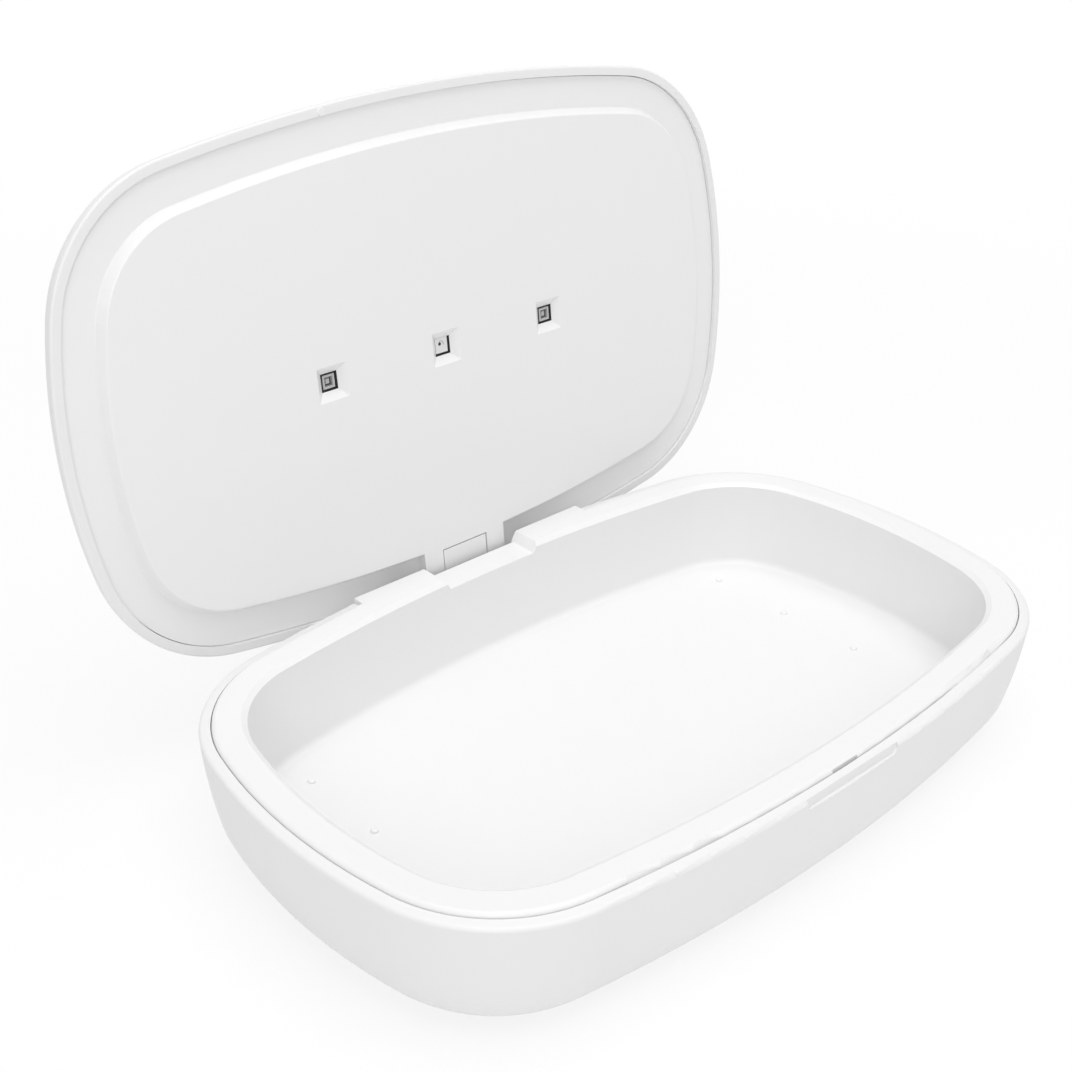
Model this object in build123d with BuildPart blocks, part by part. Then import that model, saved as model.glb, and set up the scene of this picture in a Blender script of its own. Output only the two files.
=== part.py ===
"""A box that disinfects a phone with ultraviolet light: a deep tub with a hinged lid, shown open."""
import os
from math import asin, atan2, cos, degrees, radians, sin, sqrt, tan

from build123d import *

os.makedirs("parts", exist_ok=True)

# Plan at the outer edge of the tub's rim. Sides, ends and corners are arcs that run smoothly
# into each other. Every wall keeps a steady margin from this outline, counted outwards.
rim_length = 200.6
rim_width = 120.7
side_arc_radius = 437.0
end_arc_radius = 133.0
corner_arc_radius = 33.5
half_length = rim_length / 2
half_width = rim_width / 2

# Base shell.
wall = 2.0
foot_rise = 0.6  # the rubber feet keep the shell this far off the table
rim_height = 33.5
rim_lip = 0.9  # the rim stands this much above the shell's edge
edge_fall = 0.4  # the shell's top edge slopes down to its outer corner
edge_margin = 3.7
foot_margin = -1.7
side_bulge = 1.0
foot_radius = 13.0
edge_radius = 1.0
shelf_depth = 2.5  # below the rim's top, the shelf that carries the tub
shelf_width = 1.3
shelf_thickness = 1.2
flat_margin = -14.0  # inside this margin floors and tops are plain plates
edge_height = rim_height - rim_lip
edge_low = edge_height - edge_fall
shelf_height = rim_height - shelf_depth
shelf_low = shelf_height - shelf_thickness
floor_top = foot_rise + wall

# Tub.
rim_margin = 0.85
rim_radius = 1.2
seam_gap = 0.2
seam_margin = rim_margin + seam_gap
rim_thickness = 1.8
rim_rib = 1.3
mouth_margin = -7.0
mouth_chamfer = 1.3
mouth_depth = 0.9
tub_wall = 1.6
tub_gap = 0.3  # between the tub's floor and the charging inlet below it
tub_floor = 1.4
tub_draft = 3.0
tub_floor_radius = 2.0
rim_low = rim_height - rim_thickness
pip_radius = 1.0
pip_height = 0.6
pip_round = 0.5
pip_x = 71.0
pip_rows = (12.0, 36.0)

# Hinge. The pin lies inside the back edge of the base.
hinge_inset = 0.05
hinge_drop = 5.3
hinge_y = half_width - hinge_inset
hinge_z = rim_height - hinge_drop
lid_opening = 97.05
pin_radius = 0.9
pin_play = 0.05
curl_radius = 1.45
knuckle_radius = 2.1
knuckle_start = 15.9
knuckle_length = 7.0
knuckle_end = knuckle_start + knuckle_length
pin_overhang = 0.5
pocket_half = knuckle_end + 1.1
pocket_drop = 4.0
pocket_depth = 9.0
pocket_low = hinge_z - pocket_drop
pocket_front = half_width - pocket_depth
pocket_reach = 20.0
ledge_half = 38.0
ledge_y = half_width + 1.65
ledge_gap = 0.2
dip_floor_half = 14.3
dip_top_half = 15.8
dip_depth = 2.55
dip_skin = 0.95
dip_chamfer = 0.8
dip_z = rim_height - dip_depth

bracket_drop = 2.8  # below the pocket's floor
bracket_thickness = 2.0
bracket_boss = 8.0
bracket_rib = 3.2  # joins a boss to the back wall
bracket_half = pocket_half + 4.0
bracket_width = 4.2
bracket_back = half_width - 0.8
bracket_screw_x = pocket_half + 1.9
bracket_screw_y = bracket_back - bracket_width / 2
bracket_low = pocket_low - bracket_drop
bracket_top = bracket_low + bracket_thickness
post_front = bracket_back - 2.0
post_back = bracket_back - 0.2
post_lean = 40.0

# Lid, drawn shut and then carried open.
lid_gap = 0.4
lid_height = 8.4
lid_wall = 2.0
lid_edge_margin = 3.9
lid_top_margin = 1.8
lid_bulge = 0.5
lid_radius = 7.7
lid_edge_radius = 0.6
lid_seam_margin = 1.5
panel_gap = 0.15
flange_recess = 0.95
panel_thickness = 1.5
plateau_rise = 1.6
plateau_thickness = 1.7
bevel_margin = -6.6
plateau_margin = -8.0
plateau_round = 0.5
bevel_round = 0.3
hinge_sweep = 5.9  # everything of the lid's edge stays outside this radius at the hinge
relief_half = ledge_half + 1.0
lid_edge = edge_height + lid_gap
lid_top = lid_edge + lid_height
lid_ceiling = lid_top - lid_wall
flange_low = lid_edge + flange_recess
flange_top = flange_low + panel_thickness
plateau_low = lid_edge - plateau_rise
plateau_top = plateau_low + plateau_thickness
tongue_half = 13.45
tongue_skin = 1.3
tongue_overhang = 0.3
tongue_root = 1.0  # how far the tongue's block reaches into the plateau
tongue_end = ledge_y + tongue_overhang
tab_half = 7.15
tab_gap = 0.35
tab_depth = 7.05
tab_start = half_width - tab_depth
strap_thickness = 1.2
bend_radius = 0.4
tab_sink = 0.1
tab_lip = 1.4
strap_half = 13.0
strap_gap = 0.6
strap_y = ledge_y + strap_gap
strap_outer = strap_y + strap_thickness
leaf_gap = 0.3
leaf_low = flange_top + leaf_gap
leaf_top = leaf_low + strap_thickness
leaf_end = 44.0
arm_screw_x = 8.0
arm_screw_y = 48.0
notch_gap = 0.4
notch_half = tongue_half + notch_gap
post_x = 62.0
post_y = 28.0
post_radius = 2.4
post_play = 0.1
socket_height = 3.0

# Lamps behind the lid's panel.
lamp_pitch = 34.85
lamp_window = 8.6
lamp_throat_x = 4.7
lamp_throat_y = 4.55
frame_width = 5.6
frame_opening = 3.8
led_size = 3.5
led_height = 1.0
led_board_length = 96.0
led_board_width = 16.0
board_thickness = 1.2
board_stand = 1.2
led_stand_x = (-44.0, -17.4, 17.4, 44.0)
led_stand_y = 5.5
led_board_low = plateau_top + board_stand
led_board_top = led_board_low + board_thickness
board_corner = 1.0
buzzer_radius = 4.5
buzzer_x = 25.4
buzzer_height = 3.0
buzzer_hole_radius = 0.9
buzzer_hole_depth = 0.75

# Small stop on the lid's edge.
stop_x = 28.2
stop_margin = 2.4
stop_radius = 1.0
stop_height = 0.3
stop_round = 0.25

# Power button on the lid's outer face.
button_y = -36.0
button_radius = 6.7
button_gap = 0.3
button_proud = 0.6
button_travel = 0.6
button_flange = 1.5
button_flange_thickness = 0.9
button_rest_gap = 0.15
stem_radius = 1.6
button_board_top = lid_ceiling - 3.4
button_board_low = button_board_top - board_thickness
switch_height = 1.5
switch_size = 6.2
lens_radius = 1.5
lens_y = -22.0
status_size = (2.0, 1.2)
status_height = 0.8
button_board_width = 26.0
button_board_length = 31.0
button_board_y = -33.5
button_post_x = 10.5
button_post_span = 24.0
button_post_radius = 2.0
stem_tip_gap = 0.3
switch_well_radius = 2.0
switch_well_depth = 0.8

# Screws, feet and boards of the base.
foot_x = 72.0
foot_y = 33.0
pad_radius = 5.0
pad_depth = 1.0
screw_radius = 1.2
screw_head_radius = 2.5
screw_head_height = 1.4
small_screw_radius = 1.0
small_head_radius = 1.9
small_head_height = 1.0
boss_wall = 1.5
head_gap = 0.2
shaft_gap = 0.2
screw_bite = 2.0
small_screw_bite = 2.0
drive_length = 2.2
drive_width = 0.6
drive_depth = 0.7
small_drive_length = 1.6
small_drive_depth = 0.5
boss_top = floor_top + 1.8
main_board_low = floor_top + 1.4
main_board_thickness = 1.0
main_board_top = main_board_low + main_board_thickness
inlet_width = 8.94
inlet_height = 3.2
inlet_length = 7.3
inlet_inset = 4.9  # behind the back edge of the rim
inlet_seat = 2.8  # how deep the inlet is sunk in the board's notch
inlet_lift = 0.6
inlet_front = half_width - inlet_inset
inlet_z = main_board_low + main_board_thickness / 2 + inlet_lift
inlet_wall = 0.3
inlet_gap = 0.4
inlet_base = 1.5
contact_width = 6.6
contact_thickness = 0.7
contact_length = 5.4
main_board_half = 28.0
main_board_depth = 25.0
main_screw_inset = 3.5
main_board_back = inlet_front - inlet_length + inlet_seat
main_board_middle = main_board_back - main_board_depth / 2
main_screw_x = main_board_half - main_screw_inset
main_screw_reach = main_board_depth / 2 - main_screw_inset
main_screw_rows = (main_board_middle - main_screw_reach, main_board_middle + main_screw_reach)
main_screw_places = [(side * main_screw_x, row) for side in (-1, 1) for row in main_screw_rows]
chip_x = 12.0
chip_size = 7.0
chip_height = 1.0
coil_size = 5.0
coil_corner = 1.0
coil_height = 1.4
tub_floor_low = inlet_z + inlet_height / 2 + tub_gap
tub_floor_top = tub_floor_low + tub_floor

# Finger recess, sensor slot and magnets at the front.
recess_half = 15.5
recess_margin = 2.75
recess_low = 29.85
recess_corner = 1.5
slot_half = 4.25
slot_depth = 0.4
magnet_x = 30.0
magnet_size = (12.0, 3.0, 2.2)
magnet_margin = -3.3
sensor_size = (4.0, 1.6, 3.2)


def plan_arcs():
    """Centre, radius, start angle and sweep of the outline's arcs, counter-clockwise."""
    side_centre = Vector(0, half_width - side_arc_radius)
    end_centre = Vector(half_length - end_arc_radius, 0)
    side_reach = side_arc_radius - corner_arc_radius
    end_reach = end_arc_radius - corner_arc_radius
    between = end_centre - side_centre
    along = (side_reach**2 - end_reach**2 + between.length**2) / (2 * between.length)
    across = sqrt(side_reach**2 - along**2)
    direction = between.normalized()
    corner = side_centre + direction * along + Vector(direction.Y, -direction.X) * across
    end_angle = degrees(atan2(corner.Y, corner.X - end_centre.X))
    side_angle = degrees(atan2(corner.Y - side_centre.Y, corner.X))
    turn = side_angle - end_angle
    side_turn = 180 - 2 * side_angle
    return (
        ((end_centre.X, 0), end_arc_radius, -end_angle, 2 * end_angle),
        ((corner.X, corner.Y), corner_arc_radius, end_angle, turn),
        ((0, side_centre.Y), side_arc_radius, side_angle, side_turn),
        ((-corner.X, corner.Y), corner_arc_radius, 180 - side_angle, turn),
        ((-end_centre.X, 0), end_arc_radius, 180 - end_angle, 2 * end_angle),
        ((-corner.X, -corner.Y), corner_arc_radius, 180 + end_angle, turn),
        ((0, -side_centre.Y), side_arc_radius, 180 + side_angle, side_turn),
        ((corner.X, -corner.Y), corner_arc_radius, -side_angle, turn),
    )


outline_arcs = plan_arcs()


def draw_outline(margin):
    """Draw the closed plan outline, moved outwards by a margin."""
    for centre, radius, start, turn in outline_arcs:
        CenterArc(centre, radius + margin, start, turn)


def carry_round(section):
    """The ring a wall section leaves when it is carried round the outline.

    The section is drawn with its margin to the right and its height upwards.
    """
    with BuildPart() as ring:
        for centre, radius, start, turn in outline_arcs:
            outward = Vector(cos(radians(start)), sin(radians(start)))
            place = Vector(*centre) + outward * radius
            with BuildSketch(Plane(place, outward, outward.cross(Vector(0, 0, 1)))):
                add(section)
            revolve(axis=Axis(Vector(*centre), (0, 0, 1)), revolution_arc=turn)
    return ring.part


def side_outline(y_at_middle, x):
    """How far along Y a long side lies at x, when it is y_at_middle at the middle."""
    return y_at_middle - side_arc_radius + sqrt(side_arc_radius**2 - x**2)


def bulged_side(low, high, bulge):
    """The margin of an outward-bulging side as a function of height."""
    chord = high - low
    radius = (chord.length**2 / 4 + bulge**2) / (2 * bulge)
    outward = Vector(chord.Y, -chord.X).normalized()
    centre = (low + high) * 0.5 + outward * (bulge - radius)
    return lambda height: centre.X + sqrt(radius**2 - (height - centre.Y) ** 2)


def draw_side(side, low, high, inset=0.0):
    """Draw a bulging side between two heights, moved inwards by a wall's thickness."""
    middle = (low + high) / 2
    ThreePointArc(
        (side(low) - inset, low), (side(middle) - inset, middle), (side(high) - inset, high)
    )


def corner_at(sketch, margin, height):
    """The section's corner nearest to a margin and a height."""
    return sketch.vertices().sort_by_distance((margin, height))[0]


base_side = bulged_side(Vector(foot_margin, foot_rise), Vector(edge_margin, edge_low), side_bulge)
lid_side = bulged_side(Vector(lid_edge_margin, lid_edge), Vector(lid_top_margin, lid_top), lid_bulge)

# The lid's own frame: what is drawn on a plane given through in_lid lies where the open
# lid carries it.
lid_frame = Location((0, hinge_y, hinge_z), (-lid_opening, 0, 0)) * Location((0, -hinge_y, -hinge_z))


def in_lid(plane):
    """A plane of the shut lid, carried along to where the lid stands open."""
    return Plane(lid_frame * plane.location)


# ---------------------------------------------------------------- base shell
shelf_root = shelf_low - (base_side(shelf_low) - wall + shelf_width)
with BuildSketch() as shell_section:
    with BuildLine():
        draw_side(base_side, foot_rise, edge_low)
        Polyline(
            (edge_margin, edge_low),
            (seam_margin, edge_height),
            (seam_margin, shelf_height),
            (-shelf_width, shelf_height),
            (-shelf_width, shelf_low),
            (base_side(shelf_root) - wall, shelf_root),
        )
        draw_side(base_side, floor_top, shelf_root, wall)
        Polyline(
            (base_side(floor_top) - wall, floor_top),
            (flat_margin, floor_top),
            (flat_margin, foot_rise),
            (foot_margin, foot_rise),
        )
    make_face()
    fillet(corner_at(shell_section, foot_margin, foot_rise), foot_radius)
    fillet(corner_at(shell_section, base_side(floor_top) - wall, floor_top), foot_radius - wall)
    fillet(corner_at(shell_section, edge_margin, edge_low), edge_radius)
shell_ring = carry_round(shell_section.sketch)

with BuildPart() as base_shell:
    add(shell_ring)
    with BuildSketch(Plane.XY.offset(foot_rise)):
        with BuildLine():
            draw_outline(flat_margin)
        make_face()
    extrude(amount=wall)
    # Bosses that meet the tub's bosses, and stands for the main board.
    with BuildSketch(Plane.XY.offset(floor_top)):
        with GridLocations(2 * foot_x, 2 * foot_y, 2, 2):
            Circle(pad_radius)
    extrude(amount=boss_top - floor_top)
    with BuildSketch(Plane.XY.offset(floor_top)):
        with Locations(*main_screw_places):
            Circle(small_screw_radius + boss_wall)
    extrude(amount=main_board_low - floor_top)
    # Bosses on the back wall under the hinge bracket.
    with BuildSketch(Plane.XY.offset(bracket_low)):
        with Locations((-bracket_screw_x, bracket_screw_y), (bracket_screw_x, bracket_screw_y)):
            Circle(small_screw_radius + boss_wall)
            Rectangle(boss_wall, bracket_rib, align=(Align.CENTER, Align.MIN))
    extrude(amount=-bracket_boss)
    # The back is cut straight under the tub's ledge.
    with BuildSketch(Plane.XY.offset(rim_low - ledge_gap)):
        with Locations((0, pocket_front)):
            Rectangle(2 * (ledge_half + ledge_gap), pocket_reach, align=(Align.CENTER, Align.MIN))
    extrude(amount=rim_height - rim_low + ledge_gap, mode=Mode.SUBTRACT)
    # Pocket for the hinge, open to the back and to the inside.
    with BuildSketch(Plane.XY.offset(pocket_low)):
        with Locations((0, pocket_front)):
            Rectangle(2 * pocket_half, pocket_reach, align=(Align.CENTER, Align.MIN))
    extrude(amount=rim_height, mode=Mode.SUBTRACT)
    # Finger recess under the front edge.
    with BuildSketch(Plane.XZ.offset(half_width + recess_margin)) as recess:
        with Locations((0, recess_low)):
            Rectangle(2 * recess_half, rim_height, align=(Align.CENTER, Align.MIN))
        fillet(recess.vertices().group_by(Axis.Y)[0], recess_corner)
    extrude(amount=2 * edge_margin, mode=Mode.SUBTRACT)
    # Hole for the charging inlet.
    with BuildSketch(Plane.XZ.offset(-half_width)):
        with Locations((0, inlet_z)):
            SlotOverall(inlet_width + 2 * inlet_gap, inlet_height + 2 * inlet_gap)
    extrude(amount=inlet_inset + inlet_length, mode=Mode.SUBTRACT)
    # Feet and screws enter from below, the boards' screws from above.
    with BuildSketch(Plane.XY.offset(foot_rise)):
        with GridLocations(2 * foot_x, 2 * foot_y, 2, 2):
            Circle(pad_radius)
        Circle(pad_radius)
    extrude(amount=pad_depth, mode=Mode.SUBTRACT)
    with BuildSketch(Plane.XY.offset(foot_rise)):
        with GridLocations(2 * foot_x, 2 * foot_y, 2, 2):
            Circle(screw_head_radius + head_gap)
    extrude(amount=pad_depth + screw_head_height, mode=Mode.SUBTRACT)
    with BuildSketch(Plane.XY.offset(foot_rise)):
        with GridLocations(2 * foot_x, 2 * foot_y, 2, 2):
            Circle(screw_radius + shaft_gap)
    extrude(amount=boss_top, mode=Mode.SUBTRACT)
    with BuildSketch(Plane.XY.offset(main_board_low)):
        with Locations(*main_screw_places):
            Circle(small_screw_radius)
    extrude(amount=-small_screw_bite, mode=Mode.SUBTRACT)
    with BuildSketch(Plane.XY.offset(bracket_low)):
        with Locations((-bracket_screw_x, bracket_screw_y), (bracket_screw_x, bracket_screw_y)):
            Circle(small_screw_radius)
    extrude(amount=-2 * small_screw_bite, mode=Mode.SUBTRACT)

base_shell.part.label = "base_shell"
export_step(base_shell.part, "parts/base_shell.step")

# ---------------------------------------------------------------- tub
draft_slope = tan(radians(tub_draft))


def tub_face(height):
    """Margin of the tub's drafted inner face at a height."""
    return mouth_margin - (rim_height - mouth_depth - height) * draft_slope


with BuildSketch() as tub_section:
    with BuildLine():
        Polyline(
            (rim_margin, rim_height),
            (mouth_margin + mouth_chamfer, rim_height),
            (mouth_margin, rim_height - mouth_depth),
            (tub_face(tub_floor_top), tub_floor_top),
            (flat_margin, tub_floor_top),
            (flat_margin, tub_floor_low),
            (tub_face(tub_floor_low) + tub_wall, tub_floor_low),
            (tub_face(rim_low) + tub_wall, rim_low),
            (-rim_rib, rim_low),
            (-rim_rib, shelf_height),
            (rim_margin, shelf_height),
            close=True,
        )
    make_face()
    fillet(corner_at(tub_section, tub_face(tub_floor_top), tub_floor_top), tub_floor_radius)
    fillet(
        corner_at(tub_section, tub_face(tub_floor_low) + tub_wall, tub_floor_low),
        tub_floor_radius + tub_wall,
    )
    fillet(corner_at(tub_section, rim_margin, rim_height), rim_radius)
tub_ring = carry_round(tub_section.sketch)

with BuildPart() as tub:
    add(tub_ring)
    with BuildSketch(Plane.XY.offset(tub_floor_low)):
        with BuildLine():
            draw_outline(flat_margin)
        make_face()
    extrude(amount=tub_floor)
    # Straight ledge over the hinge.
    with BuildSketch(Plane.XY.offset(rim_low)):
        with Locations((0, ledge_y)):
            Rectangle(
                2 * ledge_half, ledge_y - half_width - mouth_margin - mouth_chamfer - tub_wall,
                align=(Align.CENTER, Align.MAX),
            )
    extrude(amount=rim_thickness)
    # Channel across the ledge, in which the lid's tongue lies.
    with BuildSketch(Plane.XZ.offset(-ledge_y)):
        with BuildLine():
            Polyline(
                (-dip_top_half - tub_wall, rim_height),
                (-dip_top_half - tub_wall, rim_low),
                (-dip_floor_half - tub_wall / 2, dip_z - dip_skin),
                (dip_floor_half + tub_wall / 2, dip_z - dip_skin),
                (dip_top_half + tub_wall, rim_low),
                (dip_top_half + tub_wall, rim_height),
                close=True,
            )
        make_face()
    extrude(amount=ledge_y - half_width - mouth_margin - mouth_chamfer)
    with BuildSketch(Plane.XZ.offset(-ledge_y)):
        with BuildLine():
            Polyline(
                (-dip_floor_half, dip_z),
                (dip_floor_half, dip_z),
                (dip_top_half, rim_height),
                (-dip_top_half, rim_height),
                close=True,
            )
        make_face()
    extrude(amount=ledge_y - half_width - 2 * mouth_margin, mode=Mode.SUBTRACT)
    with BuildSketch(Plane.YZ.offset(-dip_floor_half)):
        with BuildLine():
            Polyline(
                (ledge_y - dip_chamfer, dip_z),
                (ledge_y, dip_z),
                (ledge_y, dip_z - dip_chamfer),
                close=True,
            )
        make_face()
    extrude(amount=2 * dip_floor_half, mode=Mode.SUBTRACT)
    # Slot in the seam through which the lid sensor looks out.
    with BuildSketch(Plane.XY.offset(shelf_height)):
        with Locations((0, slot_depth - rim_margin - half_width)):
            Rectangle(2 * slot_half, 2 * slot_depth, align=(Align.CENTER, Align.MAX))
    extrude(amount=shelf_depth, mode=Mode.SUBTRACT)
    # Sockets for the screws that hold the tub down.
    with BuildSketch(Plane.XY.offset(boss_top)):
        with GridLocations(2 * foot_x, 2 * foot_y, 2, 2):
            Circle(screw_radius + boss_wall)
    extrude(amount=tub_floor_low - boss_top)
    with BuildSketch(Plane.XY.offset(boss_top)):
        with GridLocations(2 * foot_x, 2 * foot_y, 2, 2):
            Circle(screw_radius)
    extrude(amount=screw_bite, mode=Mode.SUBTRACT)
    # Small round pips stand on the floor in a row at each end.
    with BuildSketch(Plane.XY.offset(tub_floor_top)):
        for row in pip_rows:
            with GridLocations(2 * pip_x, 2 * row, 2, 2):
                Circle(pip_radius)
    extrude(amount=pip_height)
    fillet(tub.edges(Select.LAST).group_by(Axis.Z)[-1], pip_round)

tub.part.label = "tub"
export_step(tub.part, "parts/tub.step")

# ---------------------------------------------------------------- feet and screws under the base
with BuildPart() as rubber_feet:
    with BuildSketch():
        with GridLocations(2 * foot_x, 2 * foot_y, 2, 2):
            Circle(pad_radius)
        Circle(pad_radius)
    extrude(amount=foot_rise + pad_depth)
    fillet(rubber_feet.edges().group_by(Axis.Z)[0], foot_rise / 2)

rubber_feet.part.label = "rubber_feet"
export_step(rubber_feet.part, "parts/rubber_feet.step")


base_screw_low = foot_rise + pad_depth
with BuildPart() as base_screws:
    with BuildSketch(Plane.XY.offset(base_screw_low)):
        with GridLocations(2 * foot_x, 2 * foot_y, 2, 2):
            Circle(screw_head_radius)
    extrude(amount=screw_head_height)
    with BuildSketch(Plane.XY.offset(base_screw_low)):
        with GridLocations(2 * foot_x, 2 * foot_y, 2, 2):
            Circle(screw_radius)
    extrude(amount=boss_top + screw_bite - base_screw_low)
    with BuildSketch(Plane.XY.offset(base_screw_low)):
        with GridLocations(2 * foot_x, 2 * foot_y, 2, 2):
            Rectangle(drive_length, drive_width)
            Rectangle(drive_width, drive_length)
    extrude(amount=drive_depth, mode=Mode.SUBTRACT)

base_screws.part.label = "base_screws"
export_step(base_screws.part, "parts/base_screws.step")

# ---------------------------------------------------------------- hinge, fixed half
knuckle_starts = (-knuckle_end, knuckle_start)
with BuildPart() as hinge_bracket:
    with BuildSketch(Plane.XY.offset(bracket_low)) as bracket_plate:
        with Locations((0, bracket_screw_y)):
            Rectangle(2 * bracket_half, bracket_width)
        fillet(bracket_plate.vertices(), bracket_width / 4)
    extrude(amount=bracket_thickness)
    for start in knuckle_starts:
        with BuildSketch(Plane.YZ.offset(start)):
            with BuildLine():
                Polyline(
                    (post_front, bracket_top),
                    (post_back, bracket_top),
                    (
                        hinge_y + knuckle_radius * cos(radians(post_lean)),
                        hinge_z - knuckle_radius * sin(radians(post_lean)),
                    ),
                    (hinge_y, hinge_z),
                    (hinge_y - knuckle_radius, hinge_z),
                    close=True,
                )
            make_face()
            with Locations((hinge_y, hinge_z)):
                Circle(knuckle_radius)
                Circle(pin_radius + pin_play, mode=Mode.SUBTRACT)
        extrude(amount=knuckle_length)
    with BuildSketch(Plane.XY.offset(bracket_top)):
        with Locations((-bracket_screw_x, bracket_screw_y), (bracket_screw_x, bracket_screw_y)):
            Circle(small_screw_radius + shaft_gap)
    extrude(amount=-bracket_thickness, mode=Mode.SUBTRACT)

hinge_bracket.part.label = "hinge_bracket"
export_step(hinge_bracket.part, "parts/hinge_bracket.step")

with BuildPart() as hinge_screws:
    for place in (-bracket_screw_x, bracket_screw_x):
        with Locations((place, bracket_screw_y, bracket_top)):
            Cylinder(
                small_head_radius, small_head_height, align=(Align.CENTER, Align.CENTER, Align.MIN)
            )
            Cylinder(
                small_screw_radius, bracket_thickness + small_screw_bite,
                align=(Align.CENTER, Align.CENTER, Align.MAX),
            )
    with BuildSketch(Plane.XY.offset(bracket_top + small_head_height)):
        with Locations((-bracket_screw_x, bracket_screw_y), (bracket_screw_x, bracket_screw_y)):
            Rectangle(small_drive_length, drive_width)
            Rectangle(drive_width, small_drive_length)
    extrude(amount=-small_drive_depth, mode=Mode.SUBTRACT)

hinge_screws.part.label = "hinge_screws"
export_step(hinge_screws.part, "parts/hinge_screws.step")

# ---------------------------------------------------------------- boards under the tub
with BuildPart() as main_board:
    with BuildSketch(Plane.XY.offset(main_board_low)):
        with Locations((0, main_board_back)):
            Rectangle(
                2 * main_board_half, main_board_depth, align=(Align.CENTER, Align.MAX),
            )
            Rectangle(
                inlet_width, 2 * inlet_seat, mode=Mode.SUBTRACT,
            )
        with Locations(*main_screw_places):
            Circle(small_screw_radius + shaft_gap, mode=Mode.SUBTRACT)
    extrude(amount=main_board_thickness)

main_board.part.label = "main_board"
export_step(main_board.part, "parts/main_board.step")

with BuildPart() as board_screws:
    with BuildSketch(Plane.XY.offset(main_board_top)):
        with Locations(*main_screw_places):
            Circle(small_head_radius)
    extrude(amount=small_head_height)
    with BuildSketch(Plane.XY.offset(main_board_top)):
        with Locations(*main_screw_places):
            Circle(small_screw_radius)
    extrude(amount=-main_board_thickness - small_screw_bite)
    with BuildSketch(Plane.XY.offset(main_board_top + small_head_height)):
        with Locations(*main_screw_places):
            Rectangle(small_drive_length, drive_width)
            Rectangle(drive_width, small_drive_length)
    extrude(amount=-small_drive_depth, mode=Mode.SUBTRACT)

board_screws.part.label = "board_screws"
export_step(board_screws.part, "parts/board_screws.step")

with BuildPart() as control_chip:
    with BuildSketch(Plane.XY.offset(main_board_top)):
        with Locations((-chip_x, main_board_middle)):
            Rectangle(chip_size, chip_size)
    extrude(amount=chip_height)

control_chip.part.label = "control_chip"
export_step(control_chip.part, "parts/control_chip.step")

with BuildPart() as power_coil:
    with BuildSketch(Plane.XY.offset(main_board_top)) as coil_sketch:
        with Locations((chip_x, main_board_middle)):
            Rectangle(coil_size, coil_size)
        chamfer(coil_sketch.vertices(), coil_corner)
    extrude(amount=coil_height)

power_coil.part.label = "power_coil"
export_step(power_coil.part, "parts/power_coil.step")

with BuildPart() as usb_inlet:
    with BuildSketch(Plane.XZ.offset(-inlet_front)):
        with Locations((0, inlet_z)):
            SlotOverall(inlet_width, inlet_height)
    extrude(amount=inlet_length)
    with BuildSketch(Plane.XZ.offset(-inlet_front)):
        with Locations((0, inlet_z)):
            SlotOverall(inlet_width - 2 * inlet_wall, inlet_height - 2 * inlet_wall)
    extrude(amount=inlet_length - inlet_wall, mode=Mode.SUBTRACT)

usb_inlet.part.label = "usb_inlet"
export_step(usb_inlet.part, "parts/usb_inlet.step")

with BuildPart() as usb_tongue:
    with BuildSketch(Plane.XZ.offset(inlet_length - inlet_wall - inlet_front)):
        with Locations((0, inlet_z)):
            SlotOverall(inlet_width - 2 * inlet_wall, inlet_height - 2 * inlet_wall)
    extrude(amount=-inlet_base)
    with BuildSketch(Plane.XZ.offset(inlet_length - inlet_wall - inlet_front)):
        with Locations((0, inlet_z)):
            Rectangle(contact_width, contact_thickness)
    extrude(amount=-contact_length)

usb_tongue.part.label = "usb_tongue"
export_step(usb_tongue.part, "parts/usb_tongue.step")

# The magnets lie along the curve of the front side.
magnet_y = side_outline(half_width, magnet_x) + magnet_margin
magnet_turn = degrees(asin(magnet_x / side_arc_radius))
magnet_places = (
    Location((-magnet_x, -magnet_y, 0), (0, 0, -magnet_turn)),
    Location((magnet_x, -magnet_y, 0), (0, 0, magnet_turn)),
)
with BuildPart() as base_magnets:
    with BuildSketch(Plane.XY.offset(rim_low)):
        with Locations(*magnet_places):
            Rectangle(magnet_size[0], magnet_size[1])
    extrude(amount=-magnet_size[2])

base_magnets.part.label = "base_magnets"
export_step(base_magnets.part, "parts/base_magnets.step")

with BuildPart() as lid_sensor:
    with Locations((0, -half_width - magnet_margin, rim_low)):
        Box(*sensor_size, align=(Align.CENTER, Align.CENTER, Align.MAX))

lid_sensor.part.label = "lid_sensor"
export_step(lid_sensor.part, "parts/lid_sensor.step")

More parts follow.
